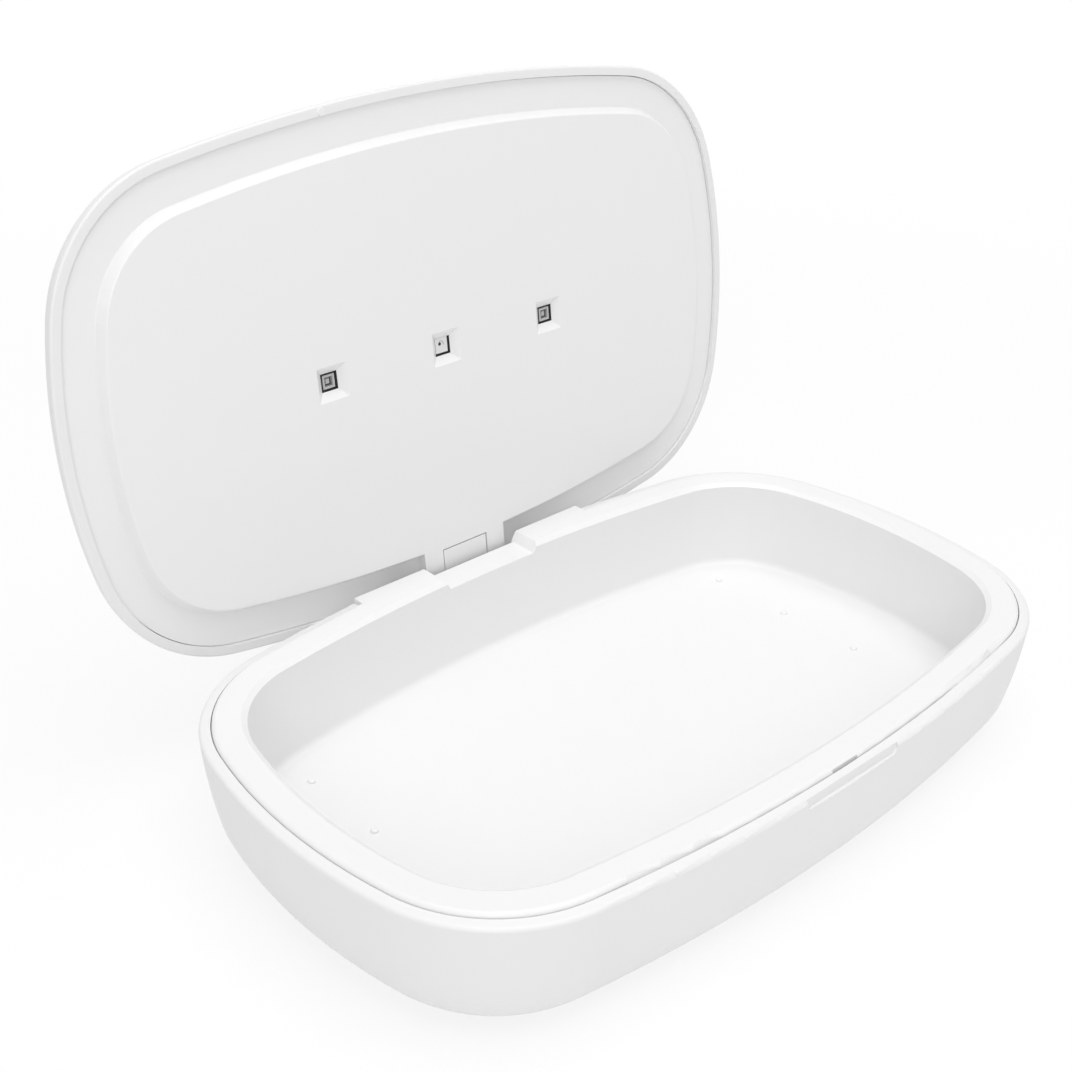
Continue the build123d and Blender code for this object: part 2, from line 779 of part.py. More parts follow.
# ---------------------------------------------------------------- lid shell
panel_margin = lid_seam_margin - panel_gap
lid_turn = Vector(lid_side(lid_top - lid_radius) - lid_radius, lid_top - lid_radius)
lid_turn_radius = lid_radius - lid_wall
lid_turn_start = degrees(asin((leaf_low - lid_turn.Y) / lid_turn_radius))
with BuildSketch() as lid_section:
    with BuildLine():
        draw_side(lid_side, lid_edge, lid_top)
        Polyline(
            (lid_top_margin, lid_top),
            (flat_margin, lid_top),
            (flat_margin, lid_ceiling),
            (lid_turn.X, lid_ceiling),
        )
        ThreePointArc(
            (lid_turn.X, lid_ceiling),
            lid_turn + Vector(lid_turn_radius, 0).rotate(Axis.Z, (90 + lid_turn_start) / 2),
            lid_turn + Vector(lid_turn_radius, 0).rotate(Axis.Z, lid_turn_start),
        )
        Polyline(
            lid_turn + Vector(lid_turn_radius, 0).rotate(Axis.Z, lid_turn_start),
            (lid_seam_margin, leaf_low),
            (lid_seam_margin, lid_edge),
            (lid_edge_margin, lid_edge),
        )
    make_face()
    fillet(corner_at(lid_section, lid_top_margin, lid_top), lid_radius)
    fillet(corner_at(lid_section, lid_edge_margin, lid_edge), lid_edge_radius)
lid_ring = carry_round(lid_section.sketch).moved(lid_frame)

post_places = [(x, y) for x in (-post_x, post_x) for y in (-post_y, post_y)]
button_posts = [
    (x, button_board_y + y)
    for x in (-button_post_x, button_post_x)
    for y in (-button_post_span / 2, button_post_span / 2)
]
with BuildPart() as lid_shell:
    add(lid_ring)
    with BuildSketch(in_lid(Plane.XY.offset(lid_ceiling))):
        with BuildLine():
            draw_outline(flat_margin)
        make_face()
    extrude(amount=lid_wall)
    # Posts for the panel and for the button's board hang from the top.
    with BuildSketch(in_lid(Plane.XY.offset(lid_ceiling))):
        with Locations(*post_places):
            Circle(post_radius)
    extrude(amount=plateau_top + post_play - lid_ceiling)
    with BuildSketch(in_lid(Plane.XY.offset(lid_ceiling))):
        with Locations(*button_posts):
            Circle(button_post_radius)
    extrude(amount=button_board_top - lid_ceiling)
    with BuildSketch(in_lid(Plane.XY.offset(button_board_top))):
        with Locations(*button_posts):
            Circle(small_screw_radius)
    extrude(amount=small_screw_bite, mode=Mode.SUBTRACT)
    # Holes for the button and the status light.
    with BuildSketch(in_lid(Plane.XY.offset(lid_ceiling))):
        with Locations((0, button_y)):
            Circle(button_radius + button_gap)
        with Locations((0, lens_y)):
            Circle(lens_radius)
    extrude(amount=lid_wall, mode=Mode.SUBTRACT)
    # Notch for the hinge arm, and the round relief that clears the base's ledge.
    with BuildSketch(in_lid(Plane.XY.offset(lid_edge))):
        with Locations((0, half_width)):
            Rectangle(2 * notch_half, 4 * lid_edge_margin)
    extrude(amount=leaf_top + panel_gap - lid_edge, mode=Mode.SUBTRACT)
    with BuildSketch(in_lid(Plane.YZ.offset(-relief_half))):
        with Locations((hinge_y, hinge_z)):
            Circle(hinge_sweep)
    extrude(amount=2 * relief_half, mode=Mode.SUBTRACT)

lid_shell.part.label = "lid_shell"
export_step(lid_shell.part, "parts/lid_shell.step")

# ---------------------------------------------------------------- lid panel
with BuildSketch() as panel_section:
    with BuildLine():
        Polyline(
            (panel_margin, flange_low),
            (panel_margin, flange_top),
            (bevel_margin + tongue_skin / 2, flange_top),
            (plateau_margin - tongue_skin / 2, plateau_top),
            (flat_margin, plateau_top),
            (flat_margin, plateau_low),
            (plateau_margin, plateau_low),
            (bevel_margin, flange_low),
            close=True,
        )
    make_face()
    fillet(corner_at(panel_section, plateau_margin, plateau_low), plateau_round)
    fillet(corner_at(panel_section, bevel_margin, flange_low), bevel_round)
panel_ring = carry_round(panel_section.sketch).moved(lid_frame)

tongue_start = half_width + plateau_margin - tongue_root
lamp_places = (-lamp_pitch, 0, lamp_pitch)
led_stands = [(x, y) for x in led_stand_x for y in (-led_stand_y, led_stand_y)]
arm_screw_places = ((-arm_screw_x, arm_screw_y), (arm_screw_x, arm_screw_y))
with BuildPart() as lid_panel:
    add(panel_ring)
    with BuildSketch(in_lid(Plane.XY.offset(plateau_low))):
        with BuildLine():
            draw_outline(flat_margin)
        make_face()
    extrude(amount=plateau_thickness)
    # Tongue that carries the plateau back over the rim's dip, hollow inside.
    with BuildSketch(in_lid(Plane.XY.offset(plateau_low))):
        with Locations((0, tongue_start)):
            Rectangle(2 * tongue_half, tongue_end - tongue_start, align=(Align.CENTER, Align.MIN))
    extrude(amount=flange_top - plateau_low)
    with BuildSketch(in_lid(Plane.XY.offset(plateau_low + tongue_skin))):
        with Locations((0, tongue_start + tongue_skin)):
            Rectangle(
                2 * (tongue_half - tongue_skin), tongue_end - tongue_start,
                align=(Align.CENTER, Align.MIN),
            )
    extrude(amount=flange_low - plateau_low - tongue_skin, mode=Mode.SUBTRACT)
    with BuildSketch(in_lid(Plane.XY.offset(plateau_low))):
        with Locations((0, tab_start - tab_gap)):
            Rectangle(
                2 * (tab_half + tab_gap), tongue_end - tab_start + 2 * tab_gap,
                align=(Align.CENTER, Align.MIN),
            )
    extrude(amount=tongue_skin, mode=Mode.SUBTRACT)
    # Stands for the lamp board and the hinge arm, sockets for the shell's posts.
    with BuildSketch(in_lid(Plane.XY.offset(plateau_top))):
        with Locations(*led_stands):
            Circle(small_head_radius)
    extrude(amount=board_stand)
    with BuildSketch(in_lid(Plane.XY.offset(plateau_top))):
        with Locations(*arm_screw_places):
            Circle(small_screw_radius + boss_wall)
    extrude(amount=leaf_low - plateau_top)
    with BuildSketch(in_lid(Plane.XY.offset(plateau_top))):
        with Locations(*post_places):
            Circle(post_radius + post_play + boss_wall)
            Circle(post_radius + post_play, mode=Mode.SUBTRACT)
    extrude(amount=socket_height)
    with BuildSketch(in_lid(Plane.XY.offset(led_board_low))):
        with Locations(*led_stands):
            Circle(small_screw_radius)
    extrude(amount=-small_screw_bite, mode=Mode.SUBTRACT)
    with BuildSketch(in_lid(Plane.XY.offset(leaf_low))):
        with Locations(*arm_screw_places):
            Circle(small_screw_radius)
    extrude(amount=-small_screw_bite, mode=Mode.SUBTRACT)
    # A square funnel in front of each lamp.
    for x in lamp_places:
        with BuildSketch(in_lid(Plane.XY.offset(plateau_low))):
            with Locations((x, 0)):
                Rectangle(lamp_window, lamp_window)
        with BuildSketch(in_lid(Plane.XY.offset(plateau_top))):
            with Locations((x, 0)):
                Rectangle(lamp_throat_x, lamp_throat_y)
        loft(mode=Mode.SUBTRACT)

lid_panel.part.label = "lid_panel"
export_step(lid_panel.part, "parts/lid_panel.step")

# ---------------------------------------------------------------- hinge, moving half
with BuildPart() as hinge_arm:
    with BuildSketch(in_lid(Plane.YZ.offset(-strap_half))) as arm_sketch:
        with BuildLine():
            Polyline(
                (hinge_y, hinge_z - strap_thickness / 2),
                (strap_outer, hinge_z - strap_thickness / 2),
                (strap_outer, leaf_top),
                (leaf_end, leaf_top),
                (leaf_end, leaf_low),
                (strap_y, leaf_low),
                (strap_y, hinge_z + strap_thickness / 2),
                (hinge_y, hinge_z + strap_thickness / 2),
                close=True,
            )
        make_face()
        fillet(arm_sketch.vertices().group_by(Axis.X)[-1], bend_radius + strap_thickness)
        fillet(
            [
                corner_at(arm_sketch, strap_y, leaf_low),
                corner_at(arm_sketch, strap_y, hinge_z + strap_thickness / 2),
            ],
            bend_radius,
        )
        with Locations((hinge_y, hinge_z)):
            Circle(curl_radius)
            Circle(pin_radius, mode=Mode.SUBTRACT)
    extrude(amount=2 * strap_half)
    with BuildSketch(in_lid(Plane.XY.offset(leaf_low))):
        with Locations(*arm_screw_places):
            Circle(small_screw_radius + shaft_gap)
    extrude(amount=strap_thickness, mode=Mode.SUBTRACT)

hinge_arm.part.label = "hinge_arm"
export_step(hinge_arm.part, "parts/hinge_arm.step")

pin_half = knuckle_end + pin_overhang
with BuildPart() as hinge_pin:
    with BuildSketch(Plane.YZ.offset(-pin_half)):
        with Locations((hinge_y, hinge_z)):
            Circle(pin_radius)
    extrude(amount=2 * pin_half)
    chamfer(hinge_pin.edges().filter_by(GeomType.CIRCLE), pin_radius / 4)

hinge_pin.part.label = "hinge_pin"
export_step(hinge_pin.part, "parts/hinge_pin.step")

with BuildPart() as arm_screws:
    with BuildSketch(in_lid(Plane.XY.offset(leaf_top))):
        with Locations(*arm_screw_places):
            Circle(small_head_radius)
    extrude(amount=small_head_height)
    with BuildSketch(in_lid(Plane.XY.offset(leaf_top))):
        with Locations(*arm_screw_places):
            Circle(small_screw_radius)
    extrude(amount=-strap_thickness - small_screw_bite)
    with BuildSketch(in_lid(Plane.XY.offset(leaf_top + small_head_height))):
        with Locations(*arm_screw_places):
            Rectangle(small_drive_length, drive_width)
            Rectangle(drive_width, small_drive_length)
    extrude(amount=-small_drive_depth, mode=Mode.SUBTRACT)

arm_screws.part.label = "arm_screws"
export_step(arm_screws.part, "parts/arm_screws.step")

tab_length = tongue_end - tab_start - tab_gap
with BuildPart() as hinge_tab:
    with BuildSketch(in_lid(Plane.XY.offset(plateau_low + tab_sink))):
        with Locations((0, tab_start)):
            Rectangle(2 * tab_half, tab_length, align=(Align.CENTER, Align.MIN))
    extrude(amount=tongue_skin - tab_sink)
    with BuildSketch(in_lid(Plane.XY.offset(plateau_low + tongue_skin))):
        with Locations((0, tab_start)):
            Rectangle(2 * (tab_half + tab_lip), tab_length, align=(Align.CENTER, Align.MIN))
    extrude(amount=tab_lip / 2)

hinge_tab.part.label = "hinge_tab"
export_step(hinge_tab.part, "parts/hinge_tab.step")

# ---------------------------------------------------------------- lamps
with BuildPart() as led_board:
    with BuildSketch(in_lid(Plane.XY.offset(led_board_low))) as led_board_sketch:
        Rectangle(led_board_length, led_board_width)
        fillet(led_board_sketch.vertices(), board_corner)
        with Locations(*led_stands):
            Circle(small_screw_radius + shaft_gap, mode=Mode.SUBTRACT)
    extrude(amount=board_thickness)

led_board.part.label = "led_board"
export_step(led_board.part, "parts/led_board.step")

with BuildPart() as led_board_screws:
    with BuildSketch(in_lid(Plane.XY.offset(led_board_top))):
        with Locations(*led_stands):
            Circle(small_head_radius)
    extrude(amount=small_head_height)
    with BuildSketch(in_lid(Plane.XY.offset(led_board_top))):
        with Locations(*led_stands):
            Circle(small_screw_radius)
    extrude(amount=-board_thickness - small_screw_bite)
    with BuildSketch(in_lid(Plane.XY.offset(led_board_top + small_head_height))):
        with Locations(*led_stands):
            Rectangle(small_drive_length, drive_width)
            Rectangle(drive_width, small_drive_length)
    extrude(amount=-small_drive_depth, mode=Mode.SUBTRACT)

led_board_screws.part.label = "led_board_screws"
export_step(led_board_screws.part, "parts/led_board_screws.step")

with BuildPart() as led_frames:
    with BuildSketch(in_lid(Plane.XY.offset(plateau_top))):
        with GridLocations(lamp_pitch, lamp_pitch, 3, 1):
            Rectangle(frame_width, frame_width)
            Rectangle(frame_opening, frame_opening, mode=Mode.SUBTRACT)
    extrude(amount=board_stand)

led_frames.part.label = "led_frames"
export_step(led_frames.part, "parts/led_frames.step")

with BuildPart() as uv_led_left:
    with BuildSketch(in_lid(Plane.XY.offset(led_board_low))):
        with Locations((-lamp_pitch, 0)):
            Rectangle(led_size, led_size)
    extrude(amount=-led_height)

uv_led_left.part.label = "uv_led_left"
export_step(uv_led_left.part, "parts/uv_led_left.step")

with BuildPart() as uv_led_center:
    with BuildSketch(in_lid(Plane.XY.offset(led_board_low))):
        Rectangle(led_size, led_size)
    extrude(amount=-led_height)

uv_led_center.part.label = "uv_led_center"
export_step(uv_led_center.part, "parts/uv_led_center.step")

with BuildPart() as uv_led_right:
    with BuildSketch(in_lid(Plane.XY.offset(led_board_low))):
        with Locations((lamp_pitch, 0)):
            Rectangle(led_size, led_size)
    extrude(amount=-led_height)

uv_led_right.part.label = "uv_led_right"
export_step(uv_led_right.part, "parts/uv_led_right.step")

with BuildPart() as buzzer:
    with BuildSketch(in_lid(Plane.XY.offset(led_board_top))):
        with Locations((buzzer_x, 0)):
            Circle(buzzer_radius)
    extrude(amount=buzzer_height)
    with BuildSketch(in_lid(Plane.XY.offset(led_board_top + buzzer_height))):
        with Locations((buzzer_x, 0)):
            Circle(buzzer_hole_radius)
    extrude(amount=-buzzer_hole_depth, mode=Mode.SUBTRACT)

buzzer.part.label = "buzzer"
export_step(buzzer.part, "parts/buzzer.step")

with BuildPart() as lid_magnets:
    with BuildSketch(in_lid(Plane.XY.offset(flange_top))):
        with Locations(*magnet_places):
            Rectangle(magnet_size[0], magnet_size[1])
    extrude(amount=magnet_size[2])

lid_magnets.part.label = "lid_magnets"
export_step(lid_magnets.part, "parts/lid_magnets.step")

with BuildPart() as closing_pip:
    with BuildSketch(in_lid(Plane.XY.offset(lid_edge))):
        with Locations((-stop_x, -side_outline(half_width, stop_x) - stop_margin)):
            Circle(stop_radius)
    extrude(amount=-stop_height)
    pip_rim = closing_pip.edges().filter_by(GeomType.CIRCLE).sort_by(Axis(lid_frame.position, in_lid(Plane.XY).z_dir))
    fillet(pip_rim[0], stop_round)

closing_pip.part.label = "closing_pip"
export_step(closing_pip.part, "parts/closing_pip.step")

# ---------------------------------------------------------------- power button
with BuildPart() as button_board:
    with BuildSketch(in_lid(Plane.XY.offset(button_board_low))) as button_board_sketch:
        with Locations((0, button_board_y)):
            Rectangle(button_board_width, button_board_length)
        fillet(button_board_sketch.vertices(), board_corner)
        with Locations(*button_posts):
            Circle(small_screw_radius + shaft_gap, mode=Mode.SUBTRACT)
    extrude(amount=board_thickness)

button_board.part.label = "button_board"
export_step(button_board.part, "parts/button_board.step")

with BuildPart() as button_board_screws:
    with BuildSketch(in_lid(Plane.XY.offset(button_board_low))):
        with Locations(*button_posts):
            Circle(small_head_radius)
    extrude(amount=-small_head_height)
    with BuildSketch(in_lid(Plane.XY.offset(button_board_low))):
        with Locations(*button_posts):
            Circle(small_screw_radius)
    extrude(amount=board_thickness + small_screw_bite)
    with BuildSketch(in_lid(Plane.XY.offset(button_board_low - small_head_height))):
        with Locations(*button_posts):
            Rectangle(small_drive_length, drive_width)
            Rectangle(drive_width, small_drive_length)
    extrude(amount=small_drive_depth, mode=Mode.SUBTRACT)

button_board_screws.part.label = "button_board_screws"
export_step(button_board_screws.part, "parts/button_board_screws.step")

switch_top = button_board_top + switch_height
with BuildPart() as button_switch:
    with BuildSketch(in_lid(Plane.XY.offset(button_board_top))):
        with Locations((0, button_y)):
            Rectangle(switch_size, switch_size)
    extrude(amount=switch_height)
    with BuildSketch(in_lid(Plane.XY.offset(switch_top))):
        with Locations((0, button_y)):
            Circle(switch_well_radius)
    extrude(amount=-switch_well_depth, mode=Mode.SUBTRACT)

button_switch.part.label = "button_switch"
export_step(button_switch.part, "parts/button_switch.step")

stem_tip = switch_top - switch_well_depth + button_travel + stem_tip_gap
button_flange_top = lid_ceiling - button_rest_gap
button_flange_low = button_flange_top - button_flange_thickness
with BuildPart() as power_button:
    with BuildSketch(in_lid(Plane.XY.offset(button_flange_low))):
        with Locations((0, button_y)):
            Circle(button_radius)
    extrude(amount=lid_top + button_proud - button_flange_low)
    with BuildSketch(in_lid(Plane.XY.offset(button_flange_low))):
        with Locations((0, button_y)):
            Circle(button_radius + button_flange)
    extrude(amount=button_flange_thickness)
    with BuildSketch(in_lid(Plane.XY.offset(button_flange_low))):
        with Locations((0, button_y)):
            Circle(stem_radius)
    extrude(amount=stem_tip - button_flange_low)

power_button.part.label = "power_button"
export_step(power_button.part, "parts/power_button.step")

with BuildPart() as status_led:
    with BuildSketch(in_lid(Plane.XY.offset(button_board_top))):
        with Locations((0, lens_y)):
            Rectangle(*status_size)
    extrude(amount=status_height)

status_led.part.label = "status_led"
export_step(status_led.part, "parts/status_led.step")

with BuildPart() as status_lens:
    with BuildSketch(in_lid(Plane.XY.offset(button_board_top + status_height + panel_gap))):
        with Locations((0, lens_y)):
            Circle(lens_radius)
    extrude(amount=lid_top - button_board_top - status_height - panel_gap)

status_lens.part.label = "status_lens"
export_step(status_lens.part, "parts/status_lens.step")
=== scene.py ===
"""Looks of an ultraviolet sanitizer box with an open lid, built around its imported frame."""
import math

import bmesh
import bpy
from mathutils import Matrix, Vector


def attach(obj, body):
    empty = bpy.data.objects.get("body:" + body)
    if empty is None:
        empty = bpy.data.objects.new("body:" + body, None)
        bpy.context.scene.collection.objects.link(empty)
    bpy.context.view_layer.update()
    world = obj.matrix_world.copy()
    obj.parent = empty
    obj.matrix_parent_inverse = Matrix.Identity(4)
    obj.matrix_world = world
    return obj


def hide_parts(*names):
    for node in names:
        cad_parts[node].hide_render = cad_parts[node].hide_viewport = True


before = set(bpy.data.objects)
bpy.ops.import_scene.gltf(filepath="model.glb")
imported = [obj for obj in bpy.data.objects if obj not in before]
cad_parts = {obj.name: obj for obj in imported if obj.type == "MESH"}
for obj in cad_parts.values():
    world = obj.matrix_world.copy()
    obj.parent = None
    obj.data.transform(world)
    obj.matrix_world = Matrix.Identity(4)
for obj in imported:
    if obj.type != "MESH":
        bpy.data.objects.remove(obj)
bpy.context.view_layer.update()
scene = bpy.context.scene
scene.view_settings.view_transform = "Standard"

# ---------------------------------------------------------------- camera
# The box is seen from its front left corner and from above, as on a product page,
# with the lid standing open behind the tub.
eye = bpy.data.cameras.new("eye")
eye.lens = 53.588
eye.sensor_width = 36.0
eye.clip_start = 0.01
eye_object = bpy.data.objects.new("eye", eye)
eye_object.location = (-0.23711856, -0.21758702, 0.23766001)
eye_object.rotation_euler = [math.radians(angle) for angle in (61.37796, -0.85441, -42.50472)]
scene.collection.objects.link(eye_object)
scene.camera = eye_object


# ---------------------------------------------------------------- base shell
# Deep injection-moulded bowl of white plastic, about 2 mm thick, with an evenly
# blasted outside. It carries everything else and stands on rubber feet.
class Graph:
    """A node tree that is filled one node at a time."""

    def __init__(self, tree):
        self.tree = tree

    def node(self, kind, settings=None, sockets=None, out=0):
        """Add a node: its settings first, then the values or links of its sockets."""
        made = self.tree.nodes.new(kind)
        for key, value in (settings or {}).items():
            setattr(made, key, value)
        for key, value in (sockets or {}).items():
            if isinstance(value, list):
                for one in value:
                    self.tree.links.new(one.socket, made.inputs[key])
            elif isinstance(value, Value):
                self.tree.links.new(value.socket, made.inputs[key])
            else:
                made.inputs[key].default_value = value
        return Value(self, made.outputs[out]) if made.outputs else None


class Value:
    """What a node gives out. Arithmetic on it adds Math nodes to its tree."""

    def __init__(self, graph, socket):
        self.graph = graph
        self.socket = socket

    def maths(self, operation, first, second):
        return self.graph.node("ShaderNodeMath", {"operation": operation}, {0: first, 1: second})

    def __add__(self, other):
        return self.maths("ADD", self, other)

    def __sub__(self, other):
        return self.maths("SUBTRACT", self, other)

    def __mul__(self, other):
        return self.maths("MULTIPLY", self, other)

    def __rsub__(self, other):
        return self.maths("SUBTRACT", other, self)

    __radd__ = __add__
    __rmul__ = __mul__


class Finish(Graph):
    """A material whose patterns read Object coordinates."""

    def __init__(self, name):
        self.material = bpy.data.materials.new(name)
        self.material.use_nodes = True
        super().__init__(self.material.node_tree)
        self.shader = self.tree.nodes["Principled BSDF"]
        self.place = self.node("ShaderNodeTexCoord", out="Object")

    def noise(self, scale, detail=2.0, place=None):
        return self.node(
            "ShaderNodeTexNoise", None,
            {"Vector": place or self.place, "Scale": scale, "Detail": detail},
        )

    def between(self, mask, low, high):
        """A colour that runs from low to high as the mask goes from 0 to 1."""
        return self.node(
            "ShaderNodeMix", {"data_type": "RGBA"}, {0: mask, 6: (*low, 1), 7: (*high, 1)}, 2
        )

    def relief(self, height, depth, strength=1.0, under=None):
        """A bump of a height that runs from 0 to 1 over a depth in metres."""
        sockets = {"Height": height, "Distance": depth, "Strength": strength}
        if under:
            sockets["Normal"] = under
        return self.node("ShaderNodeBump", None, sockets)

    def shade(self, **sockets):
        """Set the shader's own sockets, named with _ for each space."""
        for key, value in sockets.items():
            socket = self.shader.inputs[key.replace("_", " ")]
            if isinstance(value, Value):
                self.tree.links.new(value.socket, socket)
            else:
                socket.default_value = value
        return self.material


def moulded_plastic(name, colour, roughness, grain_size, grain_depth, coat=0.0):
    """White moulding: blasted grain, slow flow shading of the melt and faint handling marks.

    The size and depth of the grain are in metres.
    """
    finish = Finish(name)
    grain = finish.noise(1 / grain_size)
    orange_peel = finish.noise(220.0)
    flow = finish.noise(14.0, 3.0)
    marks = finish.noise(75.0, 5.0)
    flow_shade = 0.982
    darker = tuple(part * flow_shade for part in colour)
    ripple = finish.relief(orange_peel, 0.00001, 0.2)
    return finish.shade(
        Base_Color=finish.between(flow, darker, colour),
        Roughness=roughness + (marks - 0.5) * 0.16 + (grain - 0.5) * 0.08,
        Normal=finish.relief(grain, grain_depth, 0.5, ripple),
        IOR=1.5,
        Coat_Weight=coat,
        Coat_Roughness=0.08,
    )


def dress(node, material):
    """Give a CAD node its material."""
    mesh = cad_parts[node].data
    mesh.materials.clear()
    mesh.materials.append(material)


shell_white = moulded_plastic("shell_white", (0.84, 0.84, 0.842), 0.42, 0.0005, 0.00001)
dress("base_shell", shell_white)

# ---------------------------------------------------------------- rubber feet
# Five round pads of grey rubber, pressed into recesses of the base. A groove turned
# into each lower face keeps it from sliding; four of them also hide the screws.
FOOT_PLACES = ((-0.072, -0.033), (0.072, -0.033), (-0.072, 0.033), (0.072, 0.033), (0.0, 0.0))


def plain_mesh(name, shape):
    """The mesh of a finished bmesh, which is freed."""
    mesh = bpy.data.meshes.new(name)
    shape.to_mesh(mesh)
    shape.free()
    return mesh


def turned(profile, steps=48):
    """A closed turned shape from (radius, height) points, which run from axis to axis."""
    shape = bmesh.new()
    rings = []
    for radius, height in profile:
        if radius == 0:
            rings.append([shape.verts.new((0, 0, height))])
            continue
        turns = [2 * math.pi * step / steps for step in range(steps)]
        rings.append(
            [shape.verts.new((radius * math.cos(t), radius * math.sin(t), height)) for t in turns]
        )
    for low, high in zip(rings, rings[1:]):
        for step in range(steps):
            after = (step + 1) % steps
            corners = [low[step % len(low)], low[after % len(low)]]
            corners += [high[after % len(high)], high[step % len(high)]]
            shape.faces.new(list(dict.fromkeys(corners)))
    bmesh.ops.recalc_face_normals(shape, faces=shape.faces)
    return plain_mesh("turned", shape)


def holder(name, mesh):
    """An object in the scene for a mesh."""
    held = bpy.data.objects.new(name, mesh)
    scene.collection.objects.link(held)
    return held


def points(places, lines=()):
    """A mesh of bare points for a recipe to put copies on, or of lines for it to follow."""
    mesh = bpy.data.meshes.new("places")
    mesh.from_pydata(places, lines, [])
    return mesh


class Recipe(Graph):
    """A Geometry Nodes tree with named inputs, which ends in real faces with a material."""

    def __init__(self, name, inputs):
        super().__init__(bpy.data.node_groups.new(name, "GeometryNodeTree"))
        face = self.tree.interface
        face.new_socket("Geometry", in_out="INPUT", socket_type="NodeSocketGeometry")
        face.new_socket("Geometry", in_out="OUTPUT", socket_type="NodeSocketGeometry")
        self.keys = {}
        for label, kind in inputs.items():
            made = face.new_socket(label, in_out="INPUT", socket_type="NodeSocket" + kind)
            self.keys[label] = made.identifier
        self.start = self.tree.nodes.new("NodeGroupInput")

    def given(self, label):
        """What comes in under a name."""
        return Value(self, self.start.outputs[label])

    def shape_of(self, label):
        """The shape of the object that comes in under a name."""
        return self.node("GeometryNodeObjectInfo", None, {0: self.given(label)}, "Geometry")

    def finish(self, geometry):
        """Give out a shape, as real faces with the material that came in."""
        real = self.node("GeometryNodeRealizeInstances", None, {0: geometry})
        done = self.node(
            "GeometryNodeSetMaterial", None, {"Geometry": real, "Material": self.given("Material")}
        )
        self.node("NodeGroupOutput", None, {0: done})

    def run(self, mesh, **inputs):
        """The plain mesh that the tree makes of a mesh. Inputs are named with _ for each
        space, and a mesh among them is held by an object for as long as the tree runs."""
        work = holder("work", mesh)
        held = [work]
        modifier = work.modifiers.new("recipe", "NODES")
        modifier.node_group = self.tree
        for label, value in inputs.items():
            if isinstance(value, bpy.types.Mesh):
                value = holder(label, value)
                held.append(value)
            modifier[self.keys[label.replace("_", " ")]] = value
        seen = work.evaluated_get(bpy.context.evaluated_depsgraph_get())
        result = bpy.data.meshes.new_from_object(seen)
        work.modifiers.remove(modifier)
        for one in held:
            bpy.data.objects.remove(one)
        return result


def piece(name, mesh, body, nodes=(), carried=None):
    """Put a finished mesh in the scene, riding on a body and standing for CAD nodes."""
    if carried:
        mesh.transform(carried)
    made = holder(name, mesh)
    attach(made, body)
    if nodes:
        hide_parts(*nodes)


copies = Recipe("copies_on_places", {"Pattern": "Object", "Material": "Material"})
copies.finish(
    copies.node(
        "GeometryNodeInstanceOnPoints", None,
        {"Points": copies.given("Geometry"), "Instance": copies.shape_of("Pattern")},
    )
)

rubber = Finish("grey_rubber")
rubber_pores = rubber.noise(1800.0, 4.0)
rubber_bloom = rubber.noise(160.0, 3.0)
grey_rubber = rubber.shade(
    Base_Color=rubber.between(rubber_bloom, (0.19, 0.19, 0.195), (0.26, 0.26, 0.265)),
    Roughness=0.72 + (rubber_pores - 0.5) * 0.2,
    Normal=rubber.relief(rubber_pores, 0.00005, 0.7),
    Sheen_Weight=0.15,
)
foot_profile = [
    (0, 0.0002), (0.0014, 0.0002), (0.0016, 0), (0.0030, 0), (0.0032, 0.0002), (0.0036, 0.0002),
    (0.0038, 0), (0.0047, 0), (0.00485, 0.00005), (0.00495, 0.00015), (0.005, 0.0003),
    (0.005, 0.0016), (0, 0.0016),
]
feet_mesh = copies.run(
    points([(x, y, 0) for x, y in FOOT_PLACES]), Pattern=turned(foot_profile), Material=grey_rubber
)
piece("foot_pads", feet_mesh, "base", ["rubber_feet"])

# ---------------------------------------------------------------- screws of the base
# Plated pan-head screws with a cross drive. Four come up through the base and hold the
# tub; the head of each is hidden by its rubber foot.
screw_recipe = Recipe(
    "screws_on_places",
    {
        "Blank": "Object", "Drive length": "Float", "Drive width": "Float",
        "Drive bottom": "Float", "Turn": "Vector", "Material": "Material",
    },
)
DRIVE_BAR_HEIGHT = 0.004
drive_bars = []
for first, second in (("Drive length", "Drive width"), ("Drive width", "Drive length")):
    size = screw_recipe.node(
        "ShaderNodeCombineXYZ", None,
        {0: screw_recipe.given(first), 1: screw_recipe.given(second), 2: DRIVE_BAR_HEIGHT},
    )
    bar = screw_recipe.node("GeometryNodeMeshCube", None, {"Size": size})
    bar_middle = screw_recipe.given("Drive bottom") + DRIVE_BAR_HEIGHT / 2
    lift = screw_recipe.node("ShaderNodeCombineXYZ", None, {2: bar_middle})
    drive_bars.append(
        screw_recipe.node("GeometryNodeTransform", None, {"Geometry": bar, "Translation": lift})
    )
driven = screw_recipe.node(
    "GeometryNodeMeshBoolean", {"operation": "DIFFERENCE"},
    {0: screw_recipe.shape_of("Blank"), 1: drive_bars},
)
screw_turn = screw_recipe.node(
    "FunctionNodeEulerToRotation", None, {0: screw_recipe.given("Turn")}
)
screw_recipe.finish(
    screw_recipe.node(
        "GeometryNodeInstanceOnPoints", None,
        {"Points": screw_recipe.given("Geometry"), "Instance": driven, "Rotation": screw_turn},
    )
)

